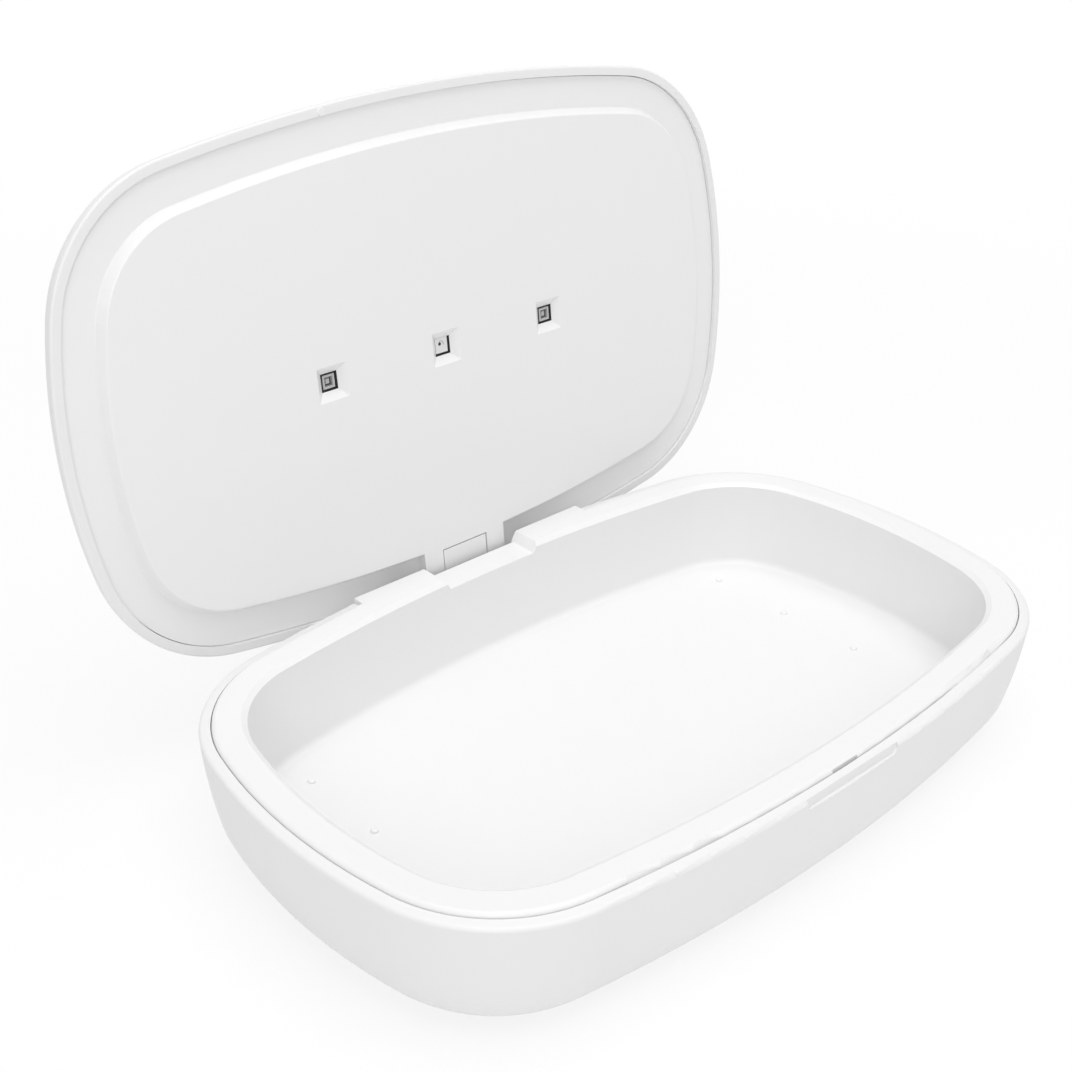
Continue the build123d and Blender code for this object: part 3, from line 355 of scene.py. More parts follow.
steel = Finish("zinc_plated_steel")
steel_stretch = steel.node(
    "ShaderNodeMapping", None, {0: steel.place, "Scale": (1.0, 40.0, 40.0)}
)
steel_lines = steel.noise(220.0, 3.0, steel_stretch)
steel_bloom = steel.noise(500.0, 3.0)
zinc_steel = steel.shade(
    Base_Color=steel.between(steel_bloom, (0.56, 0.57, 0.60), (0.68, 0.69, 0.70)),
    Metallic=1.0,
    Roughness=0.38 + (steel_lines - 0.5) * 0.16 + (steel_bloom - 0.5) * 0.1,
    Normal=steel.relief(steel_lines, 0.00001, 0.5),
)
SMALL_HEAD = (0.0019, 0.001)
SMALL_DRIVE = (0.0016, 0.0005)


def screws(
    name, body, node, places, shaft, head=SMALL_HEAD, drive=SMALL_DRIVE, up=True, carried=None
):
    """A set of like screws, whose heads sit on the given places.

    The shaft and the head are given by radius and length, the drive by length and depth.
    """
    head_radius, head_height = head
    shaft_radius, shaft_length = shaft
    drive_length, drive_depth = drive
    drive_width = 0.0006
    pitch = 0.0006
    tip = 0.0002
    profile = [(0, -shaft_length), (shaft_radius * 0.55, -shaft_length)]
    for turn in range(int(shaft_length / pitch)):
        root = tip - shaft_length + turn * pitch
        profile += [(shaft_radius * 0.78, root), (shaft_radius, root + pitch / 2)]
    profile += [
        (shaft_radius * 0.8, 0), (head_radius * 0.94, 0), (head_radius, head_height * 0.12),
        (head_radius, head_height * 0.45), (head_radius * 0.93, head_height * 0.72),
        (head_radius * 0.75, head_height * 0.92), (head_radius * 0.5, head_height),
        (0, head_height),
    ]
    mesh = screw_recipe.run(
        points(places), Blank=turned(profile, 32), Drive_length=drive_length,
        Drive_width=drive_width, Drive_bottom=head_height - drive_depth,
        Turn=(0 if up else math.pi, 0, 0), Material=zinc_steel,
    )
    piece(name, mesh, body, [node], carried)


screws(
    "base_screw_set", "base", "base_screws", [(x, y, 0.003) for x, y in FOOT_PLACES[:4]],
    shaft=(0.0012, 0.0034), head=(0.0025, 0.0014), drive=(0.0022, 0.0007), up=False,
)

# ---------------------------------------------------------------- main board
# Small green circuit board behind the charging inlet, screwed to four stands on the
# base's floor. It carries the controller, a power coil and the inlet.
BOARD_SCREW_PLACES = [(x, y, 0.005) for x in (-0.0245, 0.0245) for y in (0.02945, 0.04745)]


def circuit_board(name, mask_colour, track_colour):
    """Lacquered board: tracks show as slightly raised lines under the solder mask."""
    finish = Finish(name)
    tracks = finish.node(
        "ShaderNodeTexBrick", {"offset": 0.35, "squash": 1.6},
        {
            "Vector": finish.place, "Scale": 160.0, "Mortar Size": 0.06, "Mortar Smooth": 0.3,
            "Color1": (0, 0, 0, 1), "Color2": (0, 0, 0, 1), "Mortar": (1, 1, 1, 1),
        },
        "Fac",
    )
    glass = finish.noise(1500.0, 3.0)
    return finish.shade(
        Base_Color=finish.between(tracks * 0.7 + glass * 0.3, mask_colour, track_colour),
        Roughness=0.34 + (glass - 0.5) * 0.2,
        Normal=finish.relief(tracks + glass * 0.3, 0.00004, 0.6),
    )


green_board = circuit_board("green_board", (0.012, 0.11, 0.045), (0.03, 0.2, 0.08))
dress("main_board", green_board)
screws("main_board_screws", "base", "board_screws", BOARD_SCREW_PLACES, shaft=(0.001, 0.003))

# ---------------------------------------------------------------- moulded packages
# The controller, the coil and the sensor that tells whether the lid is shut are black
# moulded blocks, soldered to the board or glued under the rim.
black_moulding = Finish("black_moulding")
black_grit = black_moulding.noise(3000.0, 3.0)
black_cloud = black_moulding.noise(300.0, 2.0)
moulded_black = black_moulding.shade(
    Base_Color=black_moulding.between(black_cloud, (0.018, 0.018, 0.019), (0.03, 0.03, 0.031)),
    Roughness=0.55 + (black_grit - 0.5) * 0.25,
    Normal=black_moulding.relief(black_grit, 0.00002, 0.6),
)
for node in ("control_chip", "power_coil", "lid_sensor"):
    dress(node, moulded_black)

# ---------------------------------------------------------------- charging inlet
# Drawn steel can of a small charging socket at the back. The plug slides over a black
# tongue that has a row of gold-plated contacts on each face.
dress("usb_inlet", zinc_steel)
dress("usb_tongue", moulded_black)
CONTACT_PITCH = 0.0005
CONTACT_COUNT = 12
CONTACT_Y = 0.0518
TONGUE_Z = 0.0051
gold = Finish("gold_plating")
gold_wipe = gold.noise(900.0, 2.0)
gold_contacts = gold.shade(
    Base_Color=gold.between(gold_wipe, (0.78, 0.55, 0.2), (0.9, 0.68, 0.3)),
    Metallic=1.0,
    Roughness=0.25 + (gold_wipe - 0.5) * 0.2,
)
contact = bmesh.new()
contact_size = Matrix.Diagonal((0.00028, 0.0032, 0.00006, 1))
bmesh.ops.create_cube(contact, size=1.0, matrix=contact_size)
bmesh.ops.bevel(contact, geom=contact.edges[:], offset=0.00002, segments=2, affect="EDGES")
contact_row = [(index - (CONTACT_COUNT - 1) / 2) * CONTACT_PITCH for index in range(CONTACT_COUNT)]
contacts_mesh = copies.run(
    points([(x, CONTACT_Y, TONGUE_Z + side) for side in (-0.00035, 0.00035) for x in contact_row]),
    Pattern=plain_mesh("contact", contact), Material=gold_contacts,
)
piece("inlet_contacts", contacts_mesh, "base")

# ---------------------------------------------------------------- magnets
# Two nickel-plated bars under the front of the rim pull on two in the lid and keep it
# shut. All four are glued into their pockets.
nickel = Finish("nickel_plating")
nickel_speck = nickel.noise(1200.0, 4.0)
nickel_plate = nickel.shade(
    Base_Color=nickel.between(nickel_speck, (0.5, 0.49, 0.47), (0.66, 0.65, 0.62)),
    Metallic=1.0,
    Roughness=0.17 + (nickel_speck - 0.5) * 0.12,
    Normal=nickel.relief(nickel_speck, 0.00001, 0.4),
)
dress("base_magnets", nickel_plate)
dress("lid_magnets", nickel_plate)

# ---------------------------------------------------------------- tub
# Smooth white inner moulding with a broad flat rim, dropped into the base. Small pips on
# its floor hold up what lies in it, so that light reaches the underside.
tub_white = moulded_plastic("tub_white", (0.86, 0.86, 0.861), 0.37, 0.0007, 0.000006)
dress("tub", tub_white)

# ---------------------------------------------------------------- hinge, fixed half
# Pressed steel bracket with two knuckles in a pocket at the back of the base, held by
# two screws from above.
dress("hinge_bracket", zinc_steel)
HINGE_SCREW_PLACES = [(x, 0.05745, 0.0234) for x in (-0.0259, 0.0259)]
screws("hinge_screw_set", "base", "hinge_screws", HINGE_SCREW_PLACES, shaft=(0.001, 0.004))

# ---------------------------------------------------------------- lid shell
# Shallow white cover moulded like the base, with the same blasted outside. Its parts are
# drawn shut and carried to where the lid stands open.
HINGE_Y = 0.0603
HINGE_Z = 0.0282
OPEN_ANGLE = 97.05
lid_open = (
    Matrix.Translation((0, HINGE_Y, HINGE_Z))
    @ Matrix.Rotation(math.radians(-OPEN_ANGLE), 4, "X")
    @ Matrix.Translation((0, -HINGE_Y, -HINGE_Z))
)
SIDE_ARC = 0.437
END_ARC = 0.133
CORNER_ARC = 0.0335
HALF_LENGTH = 0.1003
HALF_WIDTH = 0.06035
LID_EDGE = 0.033
LID_TOP = 0.0414
LID_THICKNESS = 0.002
LID_CEILING = LID_TOP - LID_THICKNESS
LID_EDGE_MARGIN = 0.0039
LID_TOP_MARGIN = 0.0018
LID_BULGE = 0.0005
LID_TOP_ROUND = 0.0077
LID_EDGE_ROUND = 0.0006
SEAM_MARGIN = 0.0015
SEAM_TOP = 0.03575
PLATE_MARGIN = -0.014
POST_PLACES = [(x, y) for x in (-0.062, 0.062) for y in (-0.028, 0.028)]
POST_RADIUS = 0.0024
POST_FOOT = 0.0332
BUTTON_POST_PLACES = [(x, y) for x in (-0.0105, 0.0105) for y in (-0.0455, -0.0215)]
BUTTON_POST_RADIUS = 0.002
BUTTON_POST_FOOT = 0.036
POST_HEAD = 0.0404  # the posts begin inside the wall, so that they join it
SCREW_HOLE_RADIUS = 0.001
SCREW_HOLE_END = 0.038
BUTTON_Y = -0.036
BUTTON_HOLE_RADIUS = 0.007
LENS_Y = -0.022
LENS_RADIUS = 0.0015
RELIEF_RADIUS = 0.0059
RELIEF_REACH = 0.039
NOTCH_SIZE = (0.0277, 0.0156, 0.0051)
NOTCH_MIDDLE = (0, HALF_WIDTH, 0.03455)
CUT_PLAY = 0.0004  # how far a cutter reaches past what it cuts
SHARP_ANGLE = 0.6


def arc(centre, radius, start, stop, steps):
    """Points of an arc from one angle up to, but not at, another."""
    turns = [start + (stop - start) * step / steps for step in range(steps)]
    return [(centre[0] + radius * math.cos(t), centre[1] + radius * math.sin(t)) for t in turns]


def plan_outline():
    """The rim's outline, counter-clockwise: eight arcs that run smoothly into each other."""
    side_centre = Vector((0, HALF_WIDTH - SIDE_ARC))
    end_centre = Vector((HALF_LENGTH - END_ARC, 0))
    side_reach = SIDE_ARC - CORNER_ARC
    end_reach = END_ARC - CORNER_ARC
    between = end_centre - side_centre
    along = (side_reach**2 - end_reach**2 + between.length_squared) / (2 * between.length)
    across = math.sqrt(side_reach**2 - along**2)
    toward = between.normalized()
    corner = side_centre + toward * along + Vector((toward.y, -toward.x)) * across
    end_turn = math.atan2(corner.y, corner.x - end_centre.x)
    side_turn = math.atan2(corner.y - side_centre.y, corner.x)
    quarter = [
        *arc(end_centre, END_ARC, 0, end_turn, 16),
        *arc(corner, CORNER_ARC, end_turn, side_turn, 28),
        *arc(side_centre, SIDE_ARC, side_turn, math.pi / 2, 14),
        (0, HALF_WIDTH),
    ]
    half = quarter + [(-x, y) for x, y in quarter[-2::-1]]
    return half + [(x, -y) for x, y in half[-2:0:-1]]


def lid_wall():
    """The lid's wall as (margin, height), from the ceiling down, round the edge and up."""
    low = Vector((LID_EDGE_MARGIN, LID_EDGE))
    high = Vector((LID_TOP_MARGIN, LID_TOP))
    chord = high - low
    radius = (chord.length_squared / 4 + LID_BULGE**2) / (2 * LID_BULGE)
    outward = Vector((chord.y, -chord.x)).normalized()
    centre = (low + high) / 2 + outward * (LID_BULGE - radius)

    def rounding(round_radius, height):
        """Centre of a rounding inside the bulged side, and the angle where they meet."""
        across = math.sqrt((radius - round_radius) ** 2 - (height - centre.y) ** 2)
        return Vector((centre.x + across, height)), math.atan2(height - centre.y, across)

    edge, edge_turn = rounding(LID_EDGE_ROUND, LID_EDGE + LID_EDGE_ROUND)
    top, top_turn = rounding(LID_TOP_ROUND, LID_TOP - LID_TOP_ROUND)
    side_at_top = centre.x + math.sqrt(radius**2 - (top.y - centre.y) ** 2)
    inner = (side_at_top - LID_TOP_ROUND, top.y)
    inner_round = LID_TOP_ROUND - LID_THICKNESS
    inner_turn = math.asin((SEAM_TOP - top.y) / inner_round)
    level = 0.0002  # a short level step beside each rounding keeps the flat face flat
    return [
        (PLATE_MARGIN, LID_CEILING), (inner[0] - level, LID_CEILING),
        *arc(inner, inner_round, math.pi / 2, inner_turn, 14),
        (inner[0] + inner_round * math.cos(inner_turn), SEAM_TOP),
        (SEAM_MARGIN, SEAM_TOP), (SEAM_MARGIN, LID_EDGE),
        *arc(edge, LID_EDGE_ROUND, -math.pi / 2, edge_turn, 8),
        *arc(centre, radius, edge_turn, top_turn, 6),
        *arc(top, LID_TOP_ROUND, top_turn, math.pi / 2, 22),
        (top.x, LID_TOP), (top.x - level, LID_TOP), (PLATE_MARGIN, LID_TOP),
    ]


def add_rods(shape, places, radius, low, high):
    """Add upright round rods to a bmesh."""
    for x, y in places:
        bmesh.ops.create_cone(
            shape, cap_ends=True, segments=64, radius1=radius, radius2=radius,
            depth=high - low, matrix=Matrix.Translation((x, y, (low + high) / 2)),
        )


cover = Recipe(
    "wall_carried_round_outline",
    {
        "Section": "Object", "Plate Margin": "Float", "Plate Low": "Float", "Plate Top": "Float",
        "Posts": "Object", "Relief": "Object", "Holes": "Object", "Sharp Angle": "Float",
        "Material": "Material",
    },
)
# The wall's section is carried round the outline, and stays upright on the way.
path = cover.node("GeometryNodeMeshToCurve", None, {0: cover.given("Geometry")})
path = cover.node("GeometryNodeSetCurveNormal", {"mode": "Z_UP"}, {0: path})
section = cover.node("GeometryNodeMeshToCurve", None, {0: cover.shape_of("Section")})
wall = cover.node("GeometryNodeCurveToMesh", None, {0: path, 1: section})
wall = cover.node("GeometryNodeFlipFaces", None, {0: wall})
# Two flat plates, inside the outline moved in by the plate margin, close the top.
inward = cover.node(
    "ShaderNodeVectorMath", {"operation": "SCALE"},
    {
        0: cover.node("GeometryNodeInputNormal", None, None, "Normal"),
        "Scale": cover.given("Plate Margin"),
    },
)
plate_line = cover.node("GeometryNodeSetPosition", None, {0: path, "Offset": inward})
plate = cover.node("GeometryNodeFillCurve", {"mode": "NGONS"}, {0: plate_line})
plates = []
for label in ("Plate Low", "Plate Top"):
    up = cover.node("ShaderNodeCombineXYZ", None, {"Z": cover.given(label)})
    plates.append(
        cover.node("GeometryNodeTransform", None, {"Geometry": plate, "Translation": up})
    )
plates[0] = cover.node("GeometryNodeFlipFaces", None, {0: plates[0]})
solid = cover.node("GeometryNodeJoinGeometry", None, {0: [wall, *plates]})
solid = cover.node("GeometryNodeMergeByDistance", None, {0: solid, "Distance": 0.000005})
# Posts are joined on, and the relief for the base's ledge and the holes are cut out.
solid = cover.node(
    "GeometryNodeMeshBoolean", {"operation": "UNION", "solver": "EXACT"},
    {1: [solid, cover.shape_of("Posts")]},
)
for label in ("Relief", "Holes"):
    solid = cover.node(
        "GeometryNodeMeshBoolean", {"operation": "DIFFERENCE", "solver": "EXACT"},
        {0: solid, 1: cover.shape_of(label)},
    )
soft_edge = cover.node(
    "ShaderNodeMath", {"operation": "LESS_THAN"},
    {
        0: cover.node("GeometryNodeInputMeshEdgeAngle", None, None, "Unsigned Angle"),
        1: cover.given("Sharp Angle"),
    },
)
solid = cover.node("GeometryNodeSetShadeSmooth", None, {0: solid, "Shade Smooth": True})
cover.finish(
    cover.node(
        "GeometryNodeSetShadeSmooth", {"domain": "EDGE"}, {0: solid, "Shade Smooth": soft_edge}
    )
)

outline = [(x, y, 0) for x, y in plan_outline()]
wall_section = [(margin, -height, 0) for margin, height in lid_wall()]
posts = bmesh.new()
add_rods(posts, POST_PLACES, POST_RADIUS, POST_FOOT, POST_HEAD)
add_rods(posts, BUTTON_POST_PLACES, BUTTON_POST_RADIUS, BUTTON_POST_FOOT, POST_HEAD)
relief = bmesh.new()
add_rods(relief, [(0, 0)], RELIEF_RADIUS, -RELIEF_REACH, RELIEF_REACH)
relief.transform(Matrix.Translation((0, HINGE_Y, HINGE_Z)) @ Matrix.Rotation(math.pi / 2, 4, "Y"))
holes = bmesh.new()
for y, radius in ((BUTTON_Y, BUTTON_HOLE_RADIUS), (LENS_Y, LENS_RADIUS)):
    add_rods(holes, [(0, y)], radius, LID_CEILING - CUT_PLAY, LID_TOP + CUT_PLAY)
screw_hole_foot = BUTTON_POST_FOOT - CUT_PLAY
add_rods(holes, BUTTON_POST_PLACES, SCREW_HOLE_RADIUS, screw_hole_foot, SCREW_HOLE_END)
notch = Matrix.Translation(NOTCH_MIDDLE) @ Matrix.Diagonal((*NOTCH_SIZE, 1))
bmesh.ops.create_cube(holes, size=1.0, matrix=notch)
lid_mesh = cover.run(
    points(outline, [(end, (end + 1) % len(outline)) for end in range(len(outline))]),
    Section=points(wall_section, [(end, end + 1) for end in range(len(wall_section) - 1)]),
    Plate_Margin=PLATE_MARGIN, Plate_Low=LID_CEILING, Plate_Top=LID_TOP,
    Posts=plain_mesh("posts", posts), Relief=plain_mesh("relief", relief),
    Holes=plain_mesh("holes", holes), Sharp_Angle=SHARP_ANGLE, Material=shell_white,
)
piece("lid_cover", lid_mesh, "lid", ["lid_shell"], lid_open)

# ---------------------------------------------------------------- lid panel
# Inner face of the lid in glossier white: a flange under the seam, a bevel up to a broad
# raised field, and three square funnels in front of the lamps.
panel_white = moulded_plastic(
    "panel_white", (0.865, 0.865, 0.868), 0.36, 0.002, 0.000002, coat=0.3
)
dress("lid_panel", panel_white)
dress("closing_pip", tub_white)

# ---------------------------------------------------------------- hinge, moving half
# Bent steel arm whose curled end turns tightly on the steel pin, which lets the lid stand
# at any angle. A white tab closes the hole in the panel through which it was fitted.
dress("hinge_arm", zinc_steel)
dress("hinge_pin", zinc_steel)
dress("hinge_tab", panel_white)
LID_SCREW_SHAFT = (0.001, 0.0032)
screws(
    "hinge_arm_screws", "lid", "arm_screws", [(x, 0.048, 0.03695) for x in (-0.008, 0.008)],
    LID_SCREW_SHAFT, carried=lid_open,
)

# ---------------------------------------------------------------- lamp board
# White circuit board behind the panel, screwed to eight stands. It carries the three
# lamps on its face and a buzzer on its back.
white_board = circuit_board("white_board", (0.74, 0.75, 0.74), (0.66, 0.67, 0.66))
dress("led_board", white_board)
dress("buzzer", moulded_black)
LAMP_SCREW_PLACES = [
    (x, y, 0.0355) for x in (-0.044, -0.0174, 0.0174, 0.044) for y in (-0.0055, 0.0055)
]
screws(
    "lamp_board_screws", "lid", "led_board_screws", LAMP_SCREW_PLACES, LID_SCREW_SHAFT,
    carried=lid_open,
)

# ---------------------------------------------------------------- lamp frames
# Matt black square gaskets between the funnels and the board, one round each lamp, so
# that no light leaks behind the panel.
LAMP_PITCH = 0.03485
FRAME_FACE = 0.0331
FRAME_HEIGHT = 0.0012
FRAME_OUTER = 0.0056
FRAME_INNER = 0.0038


def chamfered_block(shape, width, depth, low, high, middle=(0, 0), cut=0.00006, paint=0):
    """Add a block with eased edges to a bmesh, in the material with the given number."""
    before = set(shape.faces)
    place = Matrix.Translation((*middle, (low + high) / 2)) @ Matrix.Diagonal(
        (width, depth, high - low, 1)
    )
    made = bmesh.ops.create_cube(shape, size=1.0, matrix=place)
    edges = {edge for vert in made["verts"] for edge in vert.link_edges}
    bmesh.ops.bevel(shape, geom=list(edges), offset=cut, segments=2, affect="EDGES")
    for face in set(shape.faces) - before:
        face.material_index = paint


def square_ring(shape, outer, inner, low, high, ease=0.00008):
    """Add a square frame with eased inner and outer edges to a bmesh."""
    def loop(width, height):
        """Four new corners of a square."""
        half = width / 2
        corners = ((-half, -half), (half, -half), (half, half), (-half, half))
        return [shape.verts.new((x, y, height)) for x, y in corners]

    loops = [
        loop(inner, high), loop(inner, low + ease), loop(inner + 2 * ease, low),
        loop(outer - 2 * ease, low), loop(outer, low + ease), loop(outer, high),
    ]
    faces = []
    for index, first in enumerate(loops):
        after = loops[(index + 1) % len(loops)]
        for side in range(4):
            turn = (side + 1) % 4
            faces.append(shape.faces.new((first[side], first[turn], after[turn], after[side])))
    bmesh.ops.recalc_face_normals(shape, faces=faces)


frame_shape = bmesh.new()
square_ring(frame_shape, FRAME_OUTER, FRAME_INNER, FRAME_FACE, FRAME_FACE + FRAME_HEIGHT)
matt = Finish("matt_black_foam")
foam_cells = matt.noise(2600.0, 4.0)
matt_black = matt.shade(
    Base_Color=matt.between(foam_cells, (0.003, 0.003, 0.003), (0.009, 0.009, 0.01)),
    Roughness=0.8 + (foam_cells - 0.5) * 0.2,
    Normal=matt.relief(foam_cells, 0.00003, 0.7),
)
frames_mesh = copies.run(
    points([(x, 0, 0) for x in (-LAMP_PITCH, 0, LAMP_PITCH)]),
    Pattern=plain_mesh("lamp_frame", frame_shape), Material=matt_black,
)
piece("lamp_frames", frames_mesh, "lid", ["led_frames"], lid_open)

# ---------------------------------------------------------------- ultraviolet lamps
# Surface-mounted lamps of grey ceramic. A lighter kerb stands round a sunk floor whose dark grey
# is painted shade of the well, with the square chip on it, near-black blocks beside the chip that
# are its painted shadow, and fine bond wires. The middle one is a white lamp whose cover plate
# sits a little off its funnel's axis.
LAMP_SIZE = 0.0035
LAMP_WELL = 0.0023
LAMP_LOW = 0.0333
LAMP_TOP = 0.0343
LAMP_FLOOR = LAMP_LOW + 0.00045
CHIP_FACE = LAMP_LOW + 0.0002
CHIP_SIZE = (0.0011, 0.0012)
CHIP_MIDDLE = (-0.00022, -0.0001)
# Near-black blocks on two sides of the chip: the chip's painted shadow on the lamp floor.
CHIP_SHADOW_FACE = LAMP_LOW + 0.00036
CHIP_SHADOW_BLOCKS = ((0.00035, 0.0017, (0.0006, 0)), (0.0013, 0.0002, (-0.0002, 0.00078)))
WIRE_LINES = (-0.0003, 0.0002)
WIRE_START = -0.0001
WIRE_SPAN = 0.0007
WIRE_DROP = 0.00026
WIRE_ARCH = 0.0005
WIRE_RADIUS = 0.00002
PLATE_SIZE = 0.0038
PLATE_MIDDLE = (-0.00042, -0.0004)
PLATE_FACE = 0.03296
PLATE_BACK = 0.03309
DOT_MIDDLE = (-0.00095, -0.0008)
DOT_RADIUS = 0.00045
DOT_Z = 0.03295
DOT_RISE = 0.00002
CURVE_MIDDLE = (-0.0006, -0.0007)
CURVE_RADIUS = 0.0008
CURVE_START = -125
CURVE_STEP = 12
CURVE_HALF_WIDTH = 0.00005


def ceramic(name, low, high, roughness):
    """Fired ceramic or glass with a fine pore texture."""
    finish = Finish(name)
    pores = finish.noise(5200.0, 3.0)
    return finish.shade(
        Base_Color=finish.between(pores, low, high),
        Roughness=roughness + (pores - 0.5) * 0.2,
        Normal=finish.relief(pores, 0.00001, 0.5),
    )


def tube(shape, rings, paint):
    """Add a closed tube through rings of points to a bmesh."""
    loops = [[shape.verts.new(point) for point in ring] for ring in rings]
    faces = [shape.faces.new(loops[0]), shape.faces.new(loops[-1])]
    for low, high in zip(loops, loops[1:]):
        for side in range(len(low)):
            turn = (side + 1) % len(low)
            faces.append(shape.faces.new((low[side], low[turn], high[turn], high[side])))
    bmesh.ops.recalc_face_normals(shape, faces=faces)
    for face in faces:
        face.material_index = paint


def lamp_piece(name, shape, materials, x, node):
    """Put a finished lamp in the lid, with its materials in the order of their numbers."""
    mesh = plain_mesh(name, shape)
    for material in materials:
        mesh.materials.append(material)
    mesh.transform(Matrix.Translation((x, 0, 0)))
    piece(name, mesh, "lid", [node], lid_open)


def sunk_lamp():
    """One ultraviolet lamp: kerb 0, floor with painted well shade 1, chip 2, painted shadow of the
    chip 3 and bond wires 4.
    """
    shape = bmesh.new()
    square_ring(shape, LAMP_SIZE, LAMP_WELL, LAMP_LOW, LAMP_TOP, 0.00007)
    # The floor is painted dark grey as the shade in the sunk well.
    chamfered_block(shape, LAMP_WELL, LAMP_WELL, LAMP_FLOOR, LAMP_TOP, paint=1)
    chamfered_block(shape, *CHIP_SIZE, CHIP_FACE, LAMP_FLOOR, CHIP_MIDDLE, paint=2)
    # These near-black blocks beside the chip are its painted shadow.
    for width, depth, middle in CHIP_SHADOW_BLOCKS:
        chamfered_block(shape, width, depth, CHIP_SHADOW_FACE, LAMP_FLOOR, middle, 0.00002, paint=3)
    corners = [2 * math.pi * corner / 6 for corner in range(6)]
    for y in WIRE_LINES:
        rings = []
        for way in [step / 8 for step in range(9)]:
            bend = WIRE_DROP * way - WIRE_ARCH * way * (1 - way)
            place = Vector((WIRE_START + WIRE_SPAN * way, y, CHIP_FACE + bend))
            rings.append(
                [place + Vector((0, math.cos(c), math.sin(c))) * WIRE_RADIUS for c in corners]
            )
        tube(shape, rings, 4)
    return shape


def cover_lamp():
    """The middle lamp: white body and offset plate 0, dark dot 1 and grey curve by it 2."""
    shape = bmesh.new()
    chamfered_block(shape, LAMP_SIZE, LAMP_SIZE, LAMP_LOW, LAMP_TOP)
    chamfered_block(
        shape, PLATE_SIZE, PLATE_SIZE, PLATE_FACE, PLATE_BACK, PLATE_MIDDLE, 0.00003
    )
    dot = []
    for ease, height in ((DOT_RISE, DOT_Z - DOT_RISE), (0, DOT_Z + DOT_RISE)):
        circle = arc(DOT_MIDDLE, DOT_RADIUS - ease, 0, 2 * math.pi, 24)
        dot.append([(x, y, height) for x, y in circle])
    tube(shape, dot, 1)
    rings = []
    for step in range(13):
        swing = math.radians(CURVE_START + CURVE_STEP * step)
        outward = Vector((math.cos(swing), math.sin(swing), 0))
        place = Vector((*CURVE_MIDDLE, DOT_Z)) + outward * CURVE_RADIUS
        rings.append([
            place + (outward * across + Vector((0, 0, up))) * CURVE_HALF_WIDTH
            for across, up in ((-1, -1), (1, -1), (1, 1), (-1, 1))
        ])
    tube(shape, rings, 2)
    return shape


grey_ceramic = ceramic("grey_ceramic", (0.46, 0.46, 0.47), (0.56, 0.56, 0.57), 0.45)
# Dark grey: painted shade on the side lamps' well floors, and the curve by the middle lamp's dot.
dark_ceramic = ceramic("dark_ceramic", (0.20, 0.20, 0.205), (0.27, 0.27, 0.275), 0.5)
lamp_chip = ceramic("lamp_chip", (0.42, 0.42, 0.44), (0.50, 0.50, 0.52), 0.18)
# Near-black: the chip's painted shadow in the side lamps, and the middle lamp's dot.
dark_pad = ceramic("dark_pad", (0.012, 0.012, 0.013), (0.022, 0.022, 0.024), 0.4)
white_ceramic = ceramic("white_ceramic", (0.74, 0.74, 0.745), (0.80, 0.80, 0.805), 0.3)
lamp_materials = (grey_ceramic, dark_ceramic, lamp_chip, dark_pad, gold_contacts)
lamp_piece("lamp_left", sunk_lamp(), lamp_materials, -LAMP_PITCH, "uv_led_left")
lamp_piece("lamp_right", sunk_lamp(), lamp_materials, LAMP_PITCH, "uv_led_right")
middle_materials = (white_ceramic, dark_pad, dark_ceramic)
lamp_piece("lamp_center", cover_lamp(), middle_materials, 0, "uv_led_center")

# ---------------------------------------------------------------- button board
# Green board that hangs from four posts inside the lid, with the button's switch and the
# status light on it.
dress("button_board", green_board)
dress("button_switch", moulded_black)
dress("status_led", white_ceramic)
screws(
    "button_board_screw_set", "lid", "button_board_screws",
    [(x, y, 0.0348) for x, y in BUTTON_POST_PLACES], LID_SCREW_SHAFT, up=False, carried=lid_open,
)

# ---------------------------------------------------------------- status lens
# Clear light pipe of acrylic, pressed into the lid above the status light. Its end is
# flush with the outside of the lid.
lens = Finish("clear_light_pipe")
lens_streak = lens.noise(700.0, 2.0)
clear_lens = lens.shade(
    Base_Color=lens.between(lens_streak, (0.86, 0.89, 0.9), (0.92, 0.95, 0.96)),
    Roughness=0.08 + lens_streak * 0.08,
    Transmission_Weight=0.9,
    IOR=1.49,
    Normal=lens.relief(lens_streak, 0.000008, 0.4),
)
dress("status_lens", clear_lens)

# ---------------------------------------------------------------- power button
# Round glossy button on the outside of the lid: a shallow dish inside a rounded edge, a
# collar behind the lid's wall and a stem that reaches down to the switch.
button_profile = [
    (0, 0.0378), (0.0016, 0.0378), (0.0016, 0.03835), (0.0081, 0.03835), (0.0082, 0.03845),
    (0.0082, 0.03915), (0.0081, 0.03925), (0.0067, 0.03925), (0.0067, 0.0415),
    (0.00662, 0.04175), (0.00645, 0.0419), (0.0062, 0.04198), (0.0059, 0.042),
    (0.0056, 0.04198), (0.0052, 0.04188), (0.0044, 0.04172), (0.0034, 0.0416),
    (0.0022, 0.04152), (0.0010, 0.04148), (0, 0.04147),
]
button_white = moulded_plastic(
    "button_white", (0.81, 0.81, 0.815), 0.2, 0.002, 0.000002, coat=0.5
)
button_mesh = turned(button_profile, 96)
button_mesh.transform(Matrix.Translation((0, BUTTON_Y, 0)))
button_mesh.materials.append(button_white)
piece("power_key", button_mesh, "button", ["power_button"], lid_open)

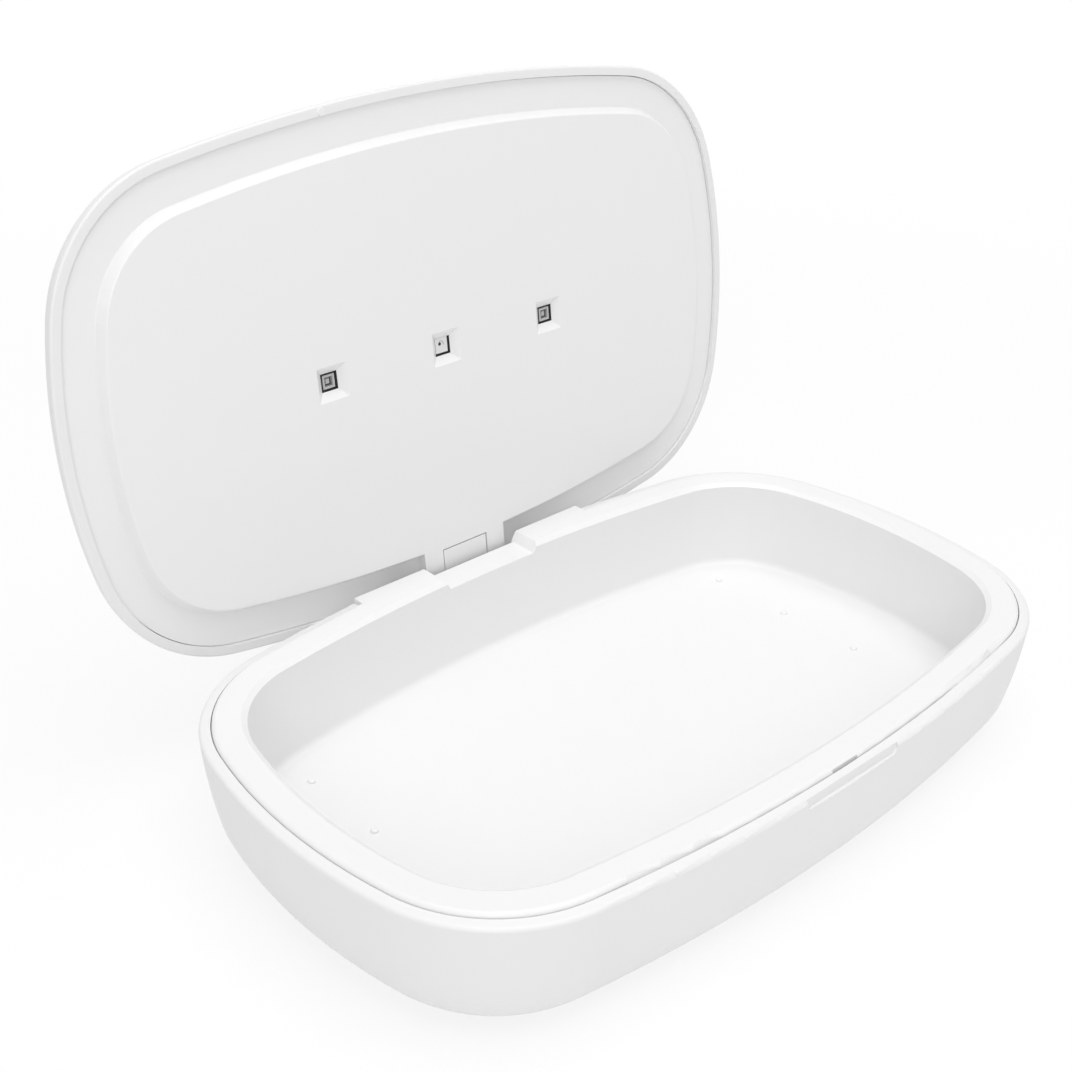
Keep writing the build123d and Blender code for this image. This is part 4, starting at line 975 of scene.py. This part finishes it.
# ---------------------------------------------------------------- table and light
# The box stands on a wide pale table in a white room. One soft box hangs above it and
# one stands to its front left.
TABLE_REACH = 4.0
floor_corners = [
    (x * TABLE_REACH, y * TABLE_REACH, 0) for x, y in ((-1, -1), (1, -1), (1, 1), (-1, 1))
]
floor_mesh = bpy.data.meshes.new("table_top")
floor_mesh.from_pydata(floor_corners, [], [(0, 1, 2, 3)])
holder("table_top", floor_mesh)
table = Finish("pale_table")
table_fleck = table.noise(60.0, 3.0)
table.shade(
    Base_Color=table.between(table_fleck, (0.93, 0.93, 0.93), (0.94, 0.94, 0.94)),
    Roughness=0.9,
    Specular_IOR_Level=0.0,
)
from_middle = table.node(
    "ShaderNodeVectorMath", {"operation": "LENGTH"}, {0: table.place}, "Value"
)
far_off = table.node(
    "ShaderNodeMapRange", {"interpolation_type": "SMOOTHSTEP"},
    {"Value": from_middle, "From Min": 0.2, "From Max": 0.6},
)


def straight_look(graph):
    """1 for what is seen directly, in a reflection or through glass, else 0."""
    camera = graph.node("ShaderNodeLightPath", out="Is Camera Ray")
    path = camera.socket.node.outputs
    return camera + Value(graph, path["Is Glossy Ray"]) + Value(graph, path["Is Transmission Ray"])


plain_white = table.node("ShaderNodeEmission", None, {"Color": (1, 1, 1, 1), "Strength": 1.0})
lit = Value(table, table.shader.outputs[0])
shown = table.node(
    "ShaderNodeMixShader", None,
    {0: straight_look(table) * (0.8 + 0.2 * far_off), 1: lit, 2: plain_white},
)
table.tree.links.new(shown.socket, table.tree.nodes["Material Output"].inputs[0])
floor_mesh.materials.append(table.material)

world = bpy.data.worlds.new("studio")
scene.world = world
world.use_nodes = True
room = Graph(world.node_tree)
dim = room.node("ShaderNodeBackground", None, {"Color": (1, 1, 1, 1), "Strength": 0.51})
bright = room.node("ShaderNodeBackground", None, {"Color": (1, 1, 1, 1), "Strength": 1.0})
sky = room.node("ShaderNodeMixShader", None, {0: straight_look(room), 1: dim, 2: bright})
room.tree.links.new(sky.socket, room.tree.nodes["World Output"].inputs[0])


def soft_box(name, place, target, size, power):
    """A round lamp that faces a target; its size is in metres and its power in watts."""
    lamp = bpy.data.lights.new(name, "AREA")
    lamp.shape = "DISK"
    lamp.size = size
    lamp.energy = power
    made = bpy.data.objects.new(name, lamp)
    made.location = place
    made.rotation_euler = (Vector(target) - Vector(place)).to_track_quat("-Z", "Y").to_euler()
    scene.collection.objects.link(made)


soft_box("top_soft_box", (0.05, -0.15, 1.3), (0, 0.02, 0.05), 1.3, 9.5)
soft_box("front_soft_box", (-0.92, -0.88, 0.75), (0, 0.04, 0.05), 0.7, 4.0)
